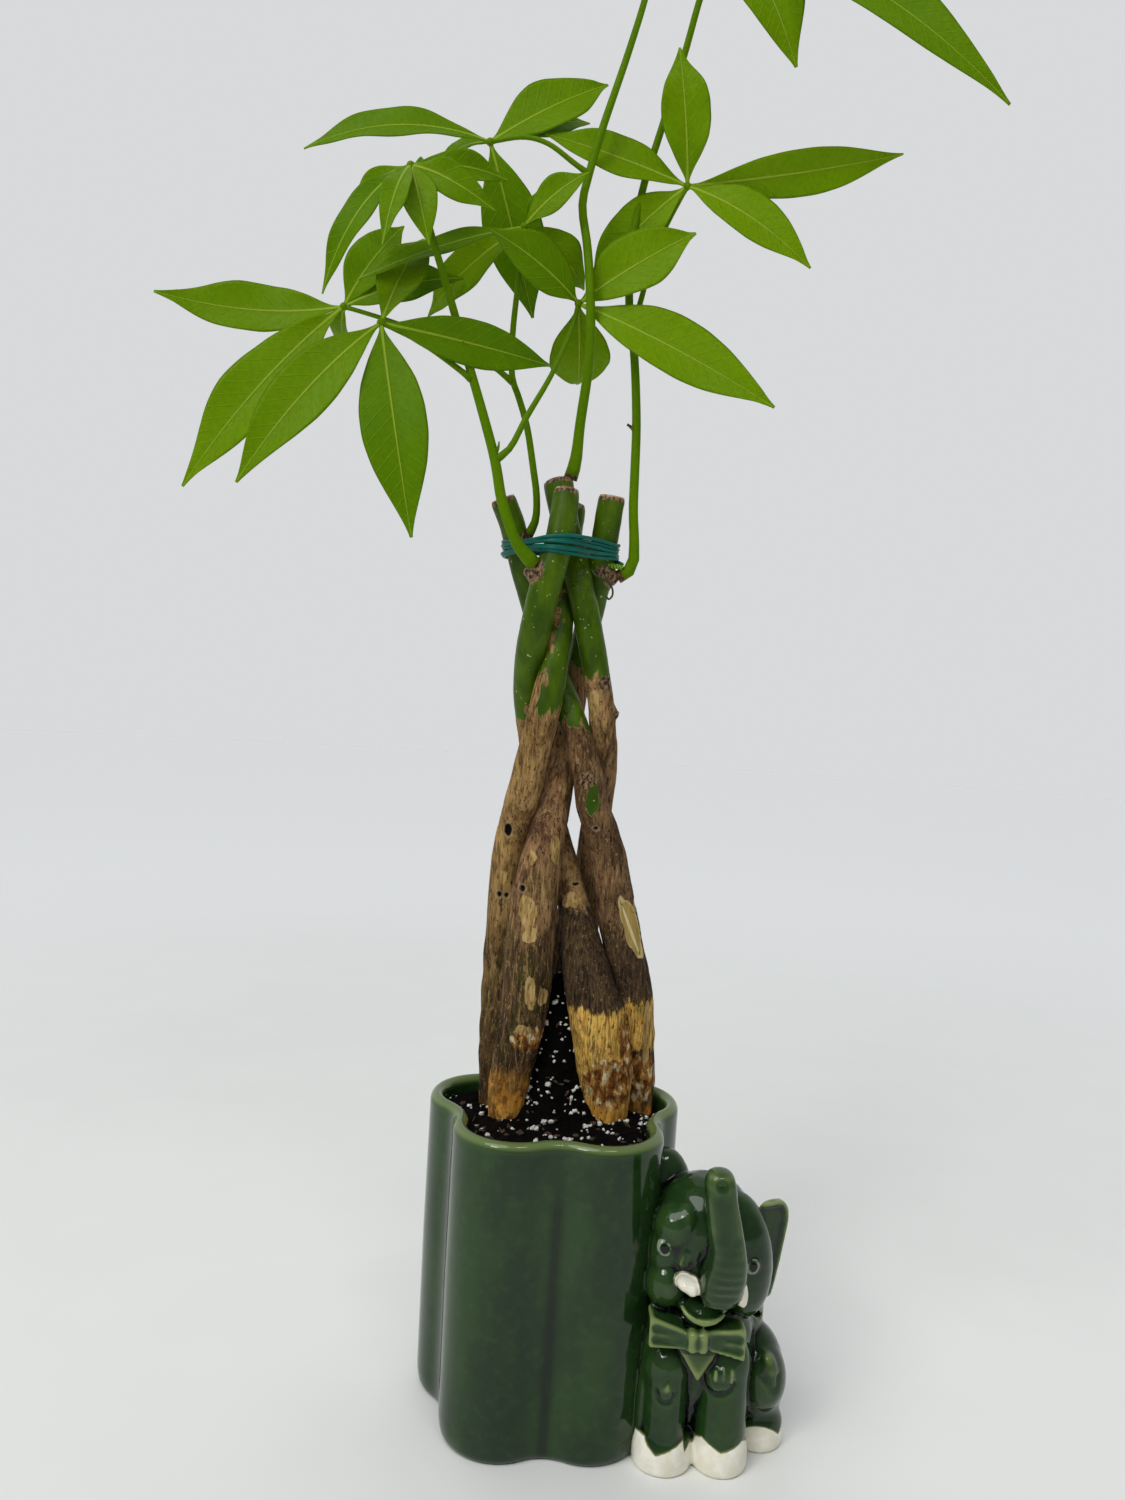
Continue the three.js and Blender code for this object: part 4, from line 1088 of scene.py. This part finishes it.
def cork_bark():
    material, tree, shader = new_material("cork bark over green skin")
    streak = grain(tree, 1.5, 5.0, (1, 1, 0.13), 0.65)
    fibre = grain(tree, 0.8, 3.0, (1, 1, 0.07), 0.6)
    cloud = grain(tree, 9, 3.0, (1, 1, 0.5))
    specks = grain(tree, 1.2, 3.0, (1, 1, 0.6))
    crust = grain(tree, 1.1, 4.0, (1, 1, 0.2), 0.7)
    ground, char, wet = bark_ground(tree, cloud, fibre, streak, kept(tree, "mossy"))
    fissured = ramp(tree, wet, 0, 1, 1, 0.4)
    unburnt = ramp(tree, char, 0, 1, 1, 0.25)
    patch = ragged_mask(tree, "patch", 2.4, 4.4, soft_mm=0.2)
    bare_cork = mix(tree, ramp(tree, streak, 0.35, 0.65), "#94763f", "#c9a970")
    bare_cork = mix(tree, ramp(tree, crust, 0.46, 0.38, 0, 0.75), bare_cork, "#5a4128")
    wander = centred(tree, grain(tree, 4.0, 2.0, (1, 1, 0.22)), 26.0)
    inside_green = calc(tree, "ADD", kept(tree, "green"), wander)
    green = ramp(tree, inside_green, -0.15, 0.15)
    skin = layered(
        tree, mix(tree, ramp(tree, cloud, 0.3, 0.7), "#2f4801", "#4c6804"),
        (ramp(tree, fibre, 0.5, 0.75, 0, 0.3), "#1e3603"),
        (ramp(tree, grain(tree, 1.7, 1.0), 0.735, 0.75), "#b9c288", 0.7),
    )
    hole = calc(tree, "ADD", kept(tree, "hole"), centred(tree, specks, 1.2))
    scar, ridge, from_pith = kept(tree, "scar"), kept(tree, "ridge"), kept(tree, "from_pith")
    callus = mix(tree, ramp(tree, specks, 0.35, 0.65), "#24170f", "#927657")
    uneven = calc(tree, "MULTIPLY", cloud, 9.0)
    rings = calc(tree, "SINE", calc(tree, "ADD", calc(tree, "MULTIPLY", from_pith, 5.2), uneven))
    wood = mix(tree, ramp(tree, rings, -0.8, 0.9), "#7d6246", "#b89c78")
    bark = layered(
        tree, ground,
        (calc(tree, "MULTIPLY", ramp(tree, streak, 0.48, 0.38, 0, 0.6), fissured), "#2c1d13"),
        (calc(tree, "MULTIPLY", ramp(tree, crust, 0.45, 0.37, 0, 0.75), fissured), "#1f150e"),
        (calc(tree, "MULTIPLY", ramp(tree, crust, 0.58, 0.66, 0, 0.4), unburnt), "#c9aa74"),
        (ramp(tree, specks, 0.63, 0.67, 0, 0.35), "#bb9e70"),
        (ramp(tree, specks, 0.36, 0.32, 0, 0.85), "#120c08"),
        (patch, bare_cork),
        (green, skin),
        (band(tree, inside_green, 0.6, 0.15), "#a99663", 0.55),
        (ramp(tree, hole, -0.2, 0.3), "#080605"),
        (band(tree, calc(tree, "ADD", hole, 0.5), 0.4, 0.1), "#a99e86", 0.35),
        (ramp(tree, scar, -0.2, 0.2), mix(tree, streak, "#8a7334", "#c9ac66")),
        (band(tree, calc(tree, "SUBTRACT", scar, 0.3), 0.6, 0.2), "#d8c290", 0.6),
        (ramp(tree, ridge, -0.5, -0.1), "#5b4220"),
        (ramp(tree, ridge, 0.1, 0.4), "#dcc694"),
        (ragged_mask(tree, "corky", 1.6, 1.6, soft_mm=0.25), callus),
        (ramp(tree, kept(tree, "cut"), -0.2, 0.2),
         mix(tree, ramp(tree, from_pith, 1.3, 0.7), wood, "#5d4632")),
    )
    rough_share = ramp(tree, green, 0, 1, 1.0, 0.12)
    normal = relief(tree, calc(tree, "MULTIPLY", streak, rough_share), 0.9)
    normal = relief(tree, calc(tree, "MULTIPLY", crust, rough_share), 0.7, normal)
    normal = relief(tree, green, 0.3, relief(tree, patch, 0.35, normal))
    set_inputs(tree, shader, {
        "Base Color": bark, "Roughness": ramp(tree, green, 0, 1, 0.85, 0.4),
        "Specular IOR Level": 0.14, "Normal": normal,
    })
    return material


BARK = cork_bark()
print("bark nodes:", len(BARK.node_tree.nodes))

# %% [markdown]
# Each trunk starts as a copy of its solid. A fine remesh gives it points to work with, relaxing
# them rounds off the solid's flats, and a little growth makes up for what relaxing takes away. The
# cut top stays flat. Fissures, swellings, pits, burrs and flakes are then moved into the mesh
# itself. Each trunk also gets painted shade by height: its bark is darkened where shade falls.

# %% Zones and marks on the bark
# Heights in millimetres, in the pot's own frame: where the green skin starts, where the wet foot
# ends and where bark is charred or frayed. "red" is the share of reddish cork, and the last list
# gives by height the share of painted shade, bark darkened where shade falls on the trunk.
TRUNKS = {
    "trunk_front": {"green": 297, "red": 0.5, "wet": 130, "char": (170, 214), "frayed": (100, 171),
                    "painted_shade": [(0, 0.1), (300, 0.1)]},
    "trunk_middle": {"green": 320, "red": 0.75, "wet": 140,
                     "painted_shade": [(165, 0.4), (200, 0.25), (222, 0)]},
    "trunk_right": {"green": 293, "red": 0.8, "wet": 126, "char": (176, 203), "frayed": (152, 173),
                    "painted_shade": [(150, 0.52), (290, 0.46), (302, 0)]},
    "trunk_back": {"green": 311, "red": 0.6, "wet": 124, "painted_shade": [(0, 0.35), (280, 0.35), (300, 0)]},
    "trunk_left": {"green": 300, "red": 0.1, "wet": 120, "painted_shade": [(150, 0.5), (215, 0.25), (240, 0)]},
}
ZONE_REACH_MM = 20.0
FIBROUS_BELOW = 215
MOSSY_BELOW = 235
# Rounded marks on each trunk: centre x, y, z, half-width, half-height, lean in degrees to the
# right. A patch is cork in the green skin or paler cork below it, and a window is green in cork.
MARKS = {
    "patch": {
        "trunk_front": [(1.1, 7, 217, 4.0, 3.6, 0)],
        "trunk_middle": [
            (-17.5, -5, 213, 4.2, 7.0, 10), (-15.5, -5, 203, 3.2, 3.5, 0),
            (-17, -3, 236, 2.0, 3.5, -10), (-7, -2, 240, 2.4, 7.0, 4), (-14, -6, 178, 2.4, 8.0, 6),
            (-8, -4, 176, 2.6, 4.5, 0), (-16, -6, 162, 3.6, 2.4, 0)],
        "trunk_right": [
            (-5.8, 6, 303, 2.0, 4.0, 0), (38, 12, 160, 1.8, 19, 3), (31, 8, 222, 1.4, 11, -16)],
        "trunk_back": [
            (4.6, 8, 303, 3.4, 9.5, -12), (2.5, 4, 352, 2.2, 4.0, 0), (-3.6, 2, 361.5, 1.8, 3.4, 0),
            (-4, 2, 353.8, 4.6, 1.3, -16), (-2.1, 2, 349.2, 1.0, 1.4, 0), (3, 2, 342, 0.8, 3.0, 0)],
        "trunk_left": [(-29, 8, 224, 2.6, 3.4, 0), (-24, 4, 270, 3.0, 6.0, 0)],
    },
    "window": {"trunk_right": [(6.4, 0, 265.5, 3.4, 6.5, 12)]},
    "scar": {"trunk_right": [(27.6, 5, 208, 4.0, 17.5, 24)]},
    "ridge": {"trunk_right": [(27.2, 5, 208, 0.8, 15, 24)]},
    "peeling": {
        "trunk_front": [(23, -3, 140, 12, 11, 0), (30, 0, 154, 4, 14, 10)],
        "trunk_middle": [(-13, -6, 158, 8, 5, 0)],
        "trunk_right": [(36, 10, 138, 8, 11, 0)],
    },
    "hole": {
        "trunk_front": [(3, 6, 224, 2.2, 1.0, 0)],
        "trunk_middle": [(-20.5, -3.3, 222.8, 1.2, 1.3, 0)],
        "trunk_right": [(3.5, -0.6, 270.6, 2.0, 1.1, -20), (9.5, 1.5, 250, 1.0, 0.8, 0)],
        "trunk_back": [(9.9, 5, 312.6, 1.3, 1.0, 20)],
        "trunk_left": [
            (-28.4, 6.9, 246.2, 1.7, 2.9, 0), (-30.8, 11.0, 217, 1.2, 1.2, 0),
            (-27.4, 10, 217, 1.1, 1.1, 0)],
    },
}
MARK_DEPTH_MM = 5.0
PEELING_DEPTH_MM = 14.0
# Corky callus where a shoot left the trunk: centre x, y, z, radius.
CALLUSES = {
    "trunk_front": [(-24.2, -5, 357.6, 5.8)],
    "trunk_middle": [(10, 18, 360.5, 5.8), (5, 12, 361, 3.2)],
    "trunk_right": [(-29.5, 15, 372.5, 4.4), (4.6, 0, 270.4, 3.9)],
    "trunk_back": [(15, 11, 300, 2.8), (9.9, 5.5, 312.6, 3.4)],
}
CUT_RIM_MM = 2.4
BARK_VOXEL_MM = 0.85
BARK_RELAX_ROUNDS = 28
BARK_GROWTH_MM = 0.42


def mark_field(places, name, kind):
    """How far each point lies inside the nearest mark of a kind, in millimetres."""
    depth = PEELING_DEPTH_MM if kind == "peeling" else MARK_DEPTH_MM
    field = np.full(len(places), -ZONE_REACH_MM)
    for x, y, z, half_width, half_height, lean in MARKS[kind].get(name, []):
        turn = math.radians(lean)
        dx, dy, dz = (places - (x, y, z)).T
        across = dx * math.cos(turn) + dz * math.sin(turn)
        upward = dz * math.cos(turn) - dx * math.sin(turn)
        size = np.sqrt((across / half_width) ** 2 + (dy / depth) ** 2 + (upward / half_height) ** 2)
        field = np.maximum(field, (1 - size) * (half_width + half_height) / 2)
    return field


def callus_field(places, name):
    field = np.full(len(places), -ZONE_REACH_MM)
    for x, y, z, radius in CALLUSES.get(name, []):
        field = np.maximum(field, radius - np.linalg.norm(places - (x, y, z), axis=1))
    return field


def noise_field(places, size_mm, stretch=1.0, seed=0.0):
    """Smooth noise from about -1 to 1, drawn out along the trunk by a stretch."""
    scaled = places / (size_mm, size_mm, size_mm * stretch) + seed
    return np.array([noise.noise(Vector(p)) for p in scaled])


def cut_plane(name):
    """The middle and the outward direction of a trunk's cut top."""
    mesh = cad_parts[name].data
    top = max(v.co.z for v in mesh.vertices)
    facets = [f for f in mesh.polygons if f.normal.z > 0.8 and f.center.z > top - 6 * MM]
    area = sum(f.area for f in facets)
    middle = sum((f.center * f.area for f in facets), Vector()) / area
    facing = sum((f.normal * f.area for f in facets), Vector()).normalized()
    return np.array(middle) / MM, np.array(facing)


def zones(name, places):
    """What the bark is at each point: the zones as millimetres inside them, the rest as shares."""
    row, (x, _, z) = TRUNKS[name], places.T
    green = z - row["green"] + 7 * noise_field(places, 4.5, 5.0, 3.1)
    if name == "trunk_left":
        strip = x + 12.8 - 0.14 * (z - 341) + 1.2 * noise_field(places, 6, 3, 9.4)
        green = np.minimum(green, np.where(z < 356, strip, 5))
    if name == "trunk_back":
        green = np.minimum(green, np.abs(x - 6) * 1.4 + (z - 316) * 0.8)
    made = {"green": np.maximum(green, mark_field(places, name, "window")), "wet": row["wet"] - z}
    for key in ("char", "frayed"):
        low, high = row.get(key, (0, -ZONE_REACH_MM))
        made[key] = np.minimum(z - low, high - z)
    made = {key: np.clip(v, -ZONE_REACH_MM, ZONE_REACH_MM) for key, v in made.items()}
    for kind in ("patch", "hole", "scar", "ridge", "peeling"):
        made[kind] = mark_field(places, name, kind)
    made["scar"] += 2.4 * noise_field(places, 3.2, 2.5, 21.0)
    made["red"] = np.clip(row["red"] + 0.35 * noise_field(places, 16, 2, 5.5), 0, 1)
    made["mossy"] = np.clip((MOSSY_BELOW - z) / 60, 0, 0.75)
    # The share of painted shade by height, for bark that lies in shade.
    made["painted_shade"] = np.interp(z, *zip(*row["painted_shade"]))
    return made


def bark_relief(places, kept_zones, callus, below_cut, fissures):
    """How far each point moves out: fissures, swellings, pits, seams, flakes and burrs."""
    cork = step(kept_zones["green"], -1.2)
    foot = np.clip((FIBROUS_BELOW - places[:, 2]) / 60, 0, 1)
    hole, scar = kept_zones["hole"], kept_zones["scar"]
    crust = noise_field(places, 3.4, 2.2, 6.3)
    grow = cork * ((0.16 + 0.34 * foot) * fissures + (0.1 + 0.3 * foot) * crust)
    grow += (0.18 + 0.5 * foot) * noise_field(places, 8.0, 1.6, 7.7)
    grow += 0.25 * step(hole + 0.8, 3) - 1.6 * step(hole - 0.2, 4)
    grow -= 0.35 * step(kept_zones["patch"], 3)
    grow += 0.5 * bell(scar + 0.2, 0.7) - 0.6 * step(scar - 0.6, 3)
    flakes = 0.9 * noise_field(places, 3.2, 1.4, 12.1) + 0.5 * noise_field(places, 1.6, 1.4, 4.1)
    burrs = 0.7 * noise_field(places, 2.0, 1, 15.1) + 0.5 * np.abs(noise_field(places, 1.1, 1, 3.7))
    grow += step(kept_zones["peeling"], 0.8) * flakes + step(callus + 0.3, 2) * burrs
    return grow + 0.25 * bell(below_cut, CUT_RIM_MM)


def bark_skin(name):
    """A trunk's skin with its relief, its cut top, and its zones kept on its points."""
    ends_up, facing = cut_plane(name)
    mesh = applied(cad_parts[name].data.copy(), voxel_skin(BARK_VOXEL_MM))
    places = relax(coordinates(mesh) / MM, edge_ends(mesh), BARK_RELAX_ROUNDS)
    move_points(mesh, places * MM)
    places = places + BARK_GROWTH_MM * normals(mesh)
    depth = (ends_up - places) @ facing
    flat_top = (normals(mesh) @ facing > 0.45) & (depth < 3)
    places[flat_top] += np.outer(depth[flat_top] - 0.1, facing)
    below_cut = (ends_up - places) @ facing
    kept_zones, callus = zones(name, places), callus_field(places, name)
    fissures = noise_field(places, 1.7, 7.0, 1.7)
    grow = bark_relief(places, kept_zones, callus, below_cut, fissures)
    grow[flat_top] = 0.12 * fissures[flat_top]
    move_along(mesh, places, grow)
    kept_zones["corky"] = np.maximum(callus, CUT_RIM_MM - below_cut)
    kept_zones["cut"] = np.where(flat_top, 1.0, -1.0)
    kept_zones["from_pith"] = np.linalg.norm(places - ends_up, axis=1)
    for key, values in kept_zones.items():
        keep_values(mesh, key, values)
    return mesh


SKINS = {name: bark_skin(name) for name in TRUNKS}
for name, skin_mesh in SKINS.items():
    piece(f"{name}_bark", skin_mesh, BARK, "bark", name)

# %% [markdown]
# ## Tie wire
# Gardeners bind the trunks' tops with wire in a green plastic coat. It lies taut, so its course is
# the rounded outline of the trunks at its height, set off by its own radius. The turns are bunched
# and cross each other, and a lighter twist locks them at the front right.

# %% Wire
def coated_wire(name, low, high):
    material, tree, shader = new_material(name)
    scuffs = ramp(tree, grain(tree, 1.2, 4.0), 0.6, 0.72)
    set_inputs(tree, shader, {
        "Base Color": mix(tree, scuffs, mix(tree, grain(tree, 6, 2.0), low, high), "#7fa596", 0.12),
        "Roughness": ramp(tree, scuffs, 0, 1, 0.34, 0.55), "Specular IOR Level": 0.2,
        "Normal": relief(tree, grain(tree, 0.9, 2.0), 0.06),
    })
    return material


TEAL_COAT = coated_wire("teal coated wire", "#02473d", "#076c5d")
LIGHT_COAT = coated_wire("leaf green coated wire", "#5f9018", "#9ccb2c")
DARK_COAT = coated_wire("dark green coated wire", "#142a10", "#2f4a18")
WIRE_RADIUS = 0.85
TWIST_RADIUS = 0.5
CURL_RADIUS = 0.45
LOOSE_RADIUS = 0.42
WIRE_MIDDLE = 369.5
WIRE_TURNS = 6
WIRE_LOCK = math.radians(-22)
PER_TURN = 72
LOOSE_LOOP = [(0.5, 2.2, 361), (2.4, 0.6, 358.4), (5.2, 0.4, 357.0), (8.2, 1.2, 355.8),
              (10.2, 1.8, 352.8), (10.2, 1.9, 350.0), (8.8, 1.9, 348.6), (7.6, 2.2, 349.9)]


def taut_outline(z):
    """The outline of a taut loop round the trunks, as even points that start at the lock."""
    section = np.concatenate([coordinates(skin) / MM for skin in SKINS.values()])
    section = section[np.abs(section[:, 2] - z) < 1.5][:, :2]
    hull = []
    for k in range(PER_TURN):
        t = WIRE_LOCK + 2 * math.pi * k / PER_TURN
        out = np.array((math.cos(t), math.sin(t)))
        hull.append(section[np.argmax(section @ out)] + out * (WIRE_RADIUS + 0.1))
    closed = np.array(hull + hull[:1])
    lengths = np.concatenate([[0], np.cumsum(np.linalg.norm(np.diff(closed, axis=0), axis=1))])
    even = np.linspace(0, lengths[-1], PER_TURN, endpoint=False)
    loop = np.stack([np.interp(even, lengths, closed[:, axis]) for axis in (0, 1)], axis=1)
    for _ in range(2):
        loop = 0.5 * loop + 0.25 * (np.roll(loop, 1, axis=0) + np.roll(loop, -1, axis=0))
    return loop


def wire_coil():
    """Bunched turns that spread where they cross the front and close up again at the lock."""
    loop = taut_outline(WIRE_MIDDLE)
    middle = loop.mean(axis=0)
    chance = random.Random("tie wire")
    course = []
    for turn in range(WIRE_TURNS):
        rank = turn - (WIRE_TURNS - 1) / 2
        phase = chance.uniform(0, 6.28)
        for k in range(PER_TURN):
            f = k / PER_TURN
            bunch = float(1 - 0.42 * bell(f - 0.62, 0.08) - 0.42 * bell(min(f, 1 - f), 0.07))
            out = (loop[k] - middle) / np.linalg.norm(loop[k] - middle)
            lift = 0.3 + (0.8 * (turn % 2) + 0.9 * (1 - bunch)) * (1 - 0.25 * bunch)
            x, y = loop[k] + out * lift
            crossing = 0.8 * math.sin(2 * math.pi * f + phase) * (0.4 + 0.3 * (turn % 3))
            height = WIRE_MIDDLE + 1.4 * (rank + f - 0.5) * bunch + crossing
            course.append(Vector((float(x), float(y), height)))
    near = [course[max(0, i - 3) : i + 4] for i in range(len(course))]
    return [sum(some, Vector()) / len(some) for some in near]


def twist(start, axis, turns, length, phase, radius):
    """One strand of a twisted pair."""
    across = Vector((0, 0, 1)).cross(axis).normalized()
    over = axis.cross(across)
    strand = []
    for i in range(turns * 10 + 1):
        t = phase + 2 * math.pi * i / 10
        centre = start + axis * (length * i / (turns * 10))
        strand.append(centre + across * (radius * math.cos(t)) + over * (radius * math.sin(t)))
    return strand


def wire_pieces():
    course = wire_coil()
    tucked = [course[0] + Vector((2.5, 3.0, -0.6)), *course, course[-1] + Vector((2.2, 3.2, 0.4))]
    coil = mesh_from("coil", *loft(tube_rings(tucked, [WIRE_RADIUS] * len(tucked), 10)))
    piece("tie_wire_coil", coil, TEAL_COAT, "coated wire", "tie_wire")
    knot = course[0] + Vector((-5.4, -3.4, -1.8))
    axis = Vector((0.97, 0.1, -0.12)).normalized()
    strands = []
    for phase in (0, math.pi):
        start = knot + Vector((-1.2, 1.6, 0.8 * math.cos(phase)))
        strands.append(tube([start, *twist(knot, axis, 3, 8.0, phase, 0.75)], TWIST_RADIUS, 90, 9))
    offsets = [(0, 0, 0), (-0.9, -0.6, 1.0), (0.2, -1.1, 1.9), (1.5, -0.8, 1.2)]
    curl = [knot + Vector((-0.4, -0.2, 0.4)) + Vector(offset) for offset in offsets]
    strands.append(tube(curl, CURL_RADIUS, 30, 9))
    piece("tie_wire_twist", joined("twist", strands), LIGHT_COAT, "coated wire")
    loose = mesh_from("loose", *tube(LOOSE_LOOP, LOOSE_RADIUS, 60, 8))
    piece("tie_wire_loose_loop", loose, DARK_COAT, "coated wire")


wire_pieces()

# %% [markdown]
# ## Soil
# The trunks stand in dark, damp peat with white perlite and chips of bark. The bed is a copy of
# the solid soil with crumbs raised on it. The grains are meshes of their own, since they are what
# the eye sees first: each is a small irregular stone, half sunk into the bed.

# %% Soil bed
SOIL_VOXEL_MM = 1.0
SOIL_OPEN_ABOVE_MM = 119


def damp_peat():
    material, tree, shader = new_material("damp peat")
    crumbs = grain(tree, 1.6, 5.0, roughness=0.7)
    peat = mix(tree, ramp(tree, crumbs, 0.35, 0.7), "#030202", "#0d0a08")
    fibres = ramp(tree, grain(tree, 0.9, 4.0, (1, 0.3, 1)), 0.64, 0.7)
    set_inputs(tree, shader, {
        "Base Color": mix(tree, fibres, peat, "#33251a", 0.3), "Roughness": 0.86,
        "Specular IOR Level": 0.06, "Normal": relief(tree, crumbs, 1.1),
    })
    return material


def soil_bed():
    mesh = applied(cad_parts["soil"].data.copy(), voxel_skin(SOIL_VOXEL_MM))
    places = relax(coordinates(mesh) / MM, edge_ends(mesh), 3)
    upward = np.clip(normals(mesh)[:, 2] * 3 + 1.2, 0, 1)
    open_top = np.clip((places[:, 2] - SOIL_OPEN_ABOVE_MM) / 3, 0, 1) * upward
    crumbs = 0.8 * noise_field(places, 3.2, 1, 2.2) + 0.5 * noise_field(places, 1.5, 1, 8.1)
    move_along(mesh, places, open_top * crumbs)
    return mesh


SOIL_BED = soil_bed()
piece("soil_bed", SOIL_BED, damp_peat(), "potting soil", "soil")

# %% Perlite and bark chips
def speckled(name, low, high, rough):
    material, tree, shader = new_material(name)
    colour = mix(tree, ramp(tree, grain(tree, 1.0, 4.0), 0.35, 0.65), low, high)
    normal = relief(tree, grain(tree, 0.5, 4.0), 0.2)
    set_inputs(tree, shader, {"Base Color": colour, "Roughness": rough, "Normal": normal})
    return material


def pebble(centre, size, flatness, chance):
    """Points and faces of one irregular grain."""
    made = bmesh.new()
    bmesh.ops.create_icosphere(made, subdivisions=2, radius=1)
    angle = chance.uniform(0, 6.28)
    turn = Matrix.Rotation(angle, 3, Vector([chance.gauss(0, 1) for _ in range(3)]).normalized())
    shift = Vector([chance.uniform(0, 50) for _ in range(3)])
    flat = Vector((1, *flatness))
    for v in made.verts:
        bump = 1 + 0.8 * noise.noise(v.co * 1.4 + shift) + 0.3 * noise.noise(v.co * 3.5 + shift)
        v.co = turn @ (v.co * bump * flat) * size + centre
    points = [v.co.copy() for v in made.verts]
    faces = [tuple(v.index for v in f.verts) for f in made.faces]
    made.free()
    return points, faces


def scatter(count, chance, above=0):
    """Places on the bed's open top, chosen by area, over a height in millimetres."""
    faces = [f for f in SOIL_BED.polygons if f.normal.z > 0.15]
    faces = [f for f in faces if f.center.z > SOIL_OPEN_ABOVE_MM * MM and (f.center / MM).z > above]
    weights = [f.area for f in faces]
    return [(f.center / MM, f.normal.copy()) for f in chance.choices(faces, weights, k=count)]


def grains():
    """White perlite, more of it on the mound, and flat chips of bark."""
    chance = random.Random("perlite")
    white, chips = [], []
    for place, facing in scatter(250, chance) + scatter(80, chance, 127):
        size = chance.choice((0.4, 0.5, 0.6, 0.7, 0.8, 1.0, 1.35))
        flatness = (chance.uniform(0.5, 1), 0.7)
        white.append(pebble(place + facing * 0.25 * size, size, flatness, chance))
    for place, facing in scatter(120, chance):
        chips.append(pebble(place + facing * 0.15, chance.uniform(0.8, 2.1), (0.5, 0.28), chance))
    perlite = speckled("puffed perlite", "#a3a29c", "#efede7", 0.9)
    piece("perlite_grains", joined("perlite", white), perlite, "potting soil")
    chipped = speckled("bark chips", "#21160e", "#533b28", 0.85)
    piece("bark_chips", joined("chips", chips), chipped, "potting soil")


grains()

# %% [markdown]
# ## Floor, light and air
# The plant stands on a plain pale floor in soft daylight from the upper left. Two large lamps and
# an even sky are enough. Their small reflections on the glaze matter, so the lamps are rectangles.
# The floor's colour is painted a little lighter away from the pot: painted light, as near a window.

# %% Floor and lights
FLOOR_RADIUS = 6


def pale_floor():
    """A wide plain board, its colour painted lighter away from the pot as painted light."""
    material, tree, shader = new_material("matt painted board")
    place = add_node(tree, "ShaderNodeTexCoord").outputs["Object"]
    reach = add_node(tree, "ShaderNodeVectorMath", {0: place}, operation="LENGTH").outputs["Value"]
    near = mix(tree, grain(tree, 60, 2.0), "#e9eae7", "#eeefec")
    # Painted light: the colour brightens with distance from the pot.
    colour = mix(tree, ramp(tree, reach, 0.25, 1.6), near, "#f5f6f7")
    set_inputs(tree, shader, {"Base Color": colour, "Roughness": 0.6})
    corners = [(FLOOR_RADIUS * c, FLOOR_RADIUS * s, 0) for c, s in circle(64)]
    floor_mesh = bpy.data.meshes.new("floor")
    floor_mesh.from_pydata(corners, [], [tuple(range(64))])
    floor_mesh.materials.append(material)
    placed("floor", floor_mesh)


def lamp(name, place, target, width, height, watts, colour):
    data = bpy.data.lights.new(name, "AREA")
    data.shape = "RECTANGLE"
    data.size, data.size_y = width, height
    data.energy = watts
    data.color = colour
    made = placed(name, data)
    made.location = place
    made.rotation_euler = (Vector(target) - Vector(place)).to_track_quat("-Z", "Y").to_euler()


def daylight(turn, height, strength, softness):
    data = bpy.data.lights.new("daylight", "SUN")
    data.energy = strength
    data.angle = math.radians(softness)
    placed("daylight", data).rotation_euler = (math.radians(90 - height), 0, math.radians(turn))


def studio_sky():
    """An even sky: the white wall behind the plant is bright, the room in front of it is dimmer."""
    made = bpy.data.worlds.new("even sky")
    made.use_nodes = True
    tree = made.node_tree
    towards = add_node(tree, "ShaderNodeTexCoord").outputs["Generated"]
    depth = add_node(tree, "ShaderNodeSeparateXYZ", {"Vector": towards}).outputs["Y"]
    colour = mix(tree, ramp(tree, depth, -0.25, 0.45), "#85888a", "#e3e4e6")
    set_inputs(tree, tree.nodes["Background"], {"Color": colour, "Strength": 0.9})
    return made


pale_floor()
daylight(-40, 52, 1.32, 38)
lamp("window", (-0.75, -0.95, 1.0), (0, 0, 0.2), 0.32, 0.22, 3.0, (1.0, 0.99, 0.97))
lamp("ceiling", (0.25, -0.75, 1.25), (0, 0, 0.2), 0.4, 0.12, 2.0, (0.97, 0.985, 1.0))
bpy.context.scene.world = studio_sky()
bpy.context.scene.view_settings.view_transform = "Standard"
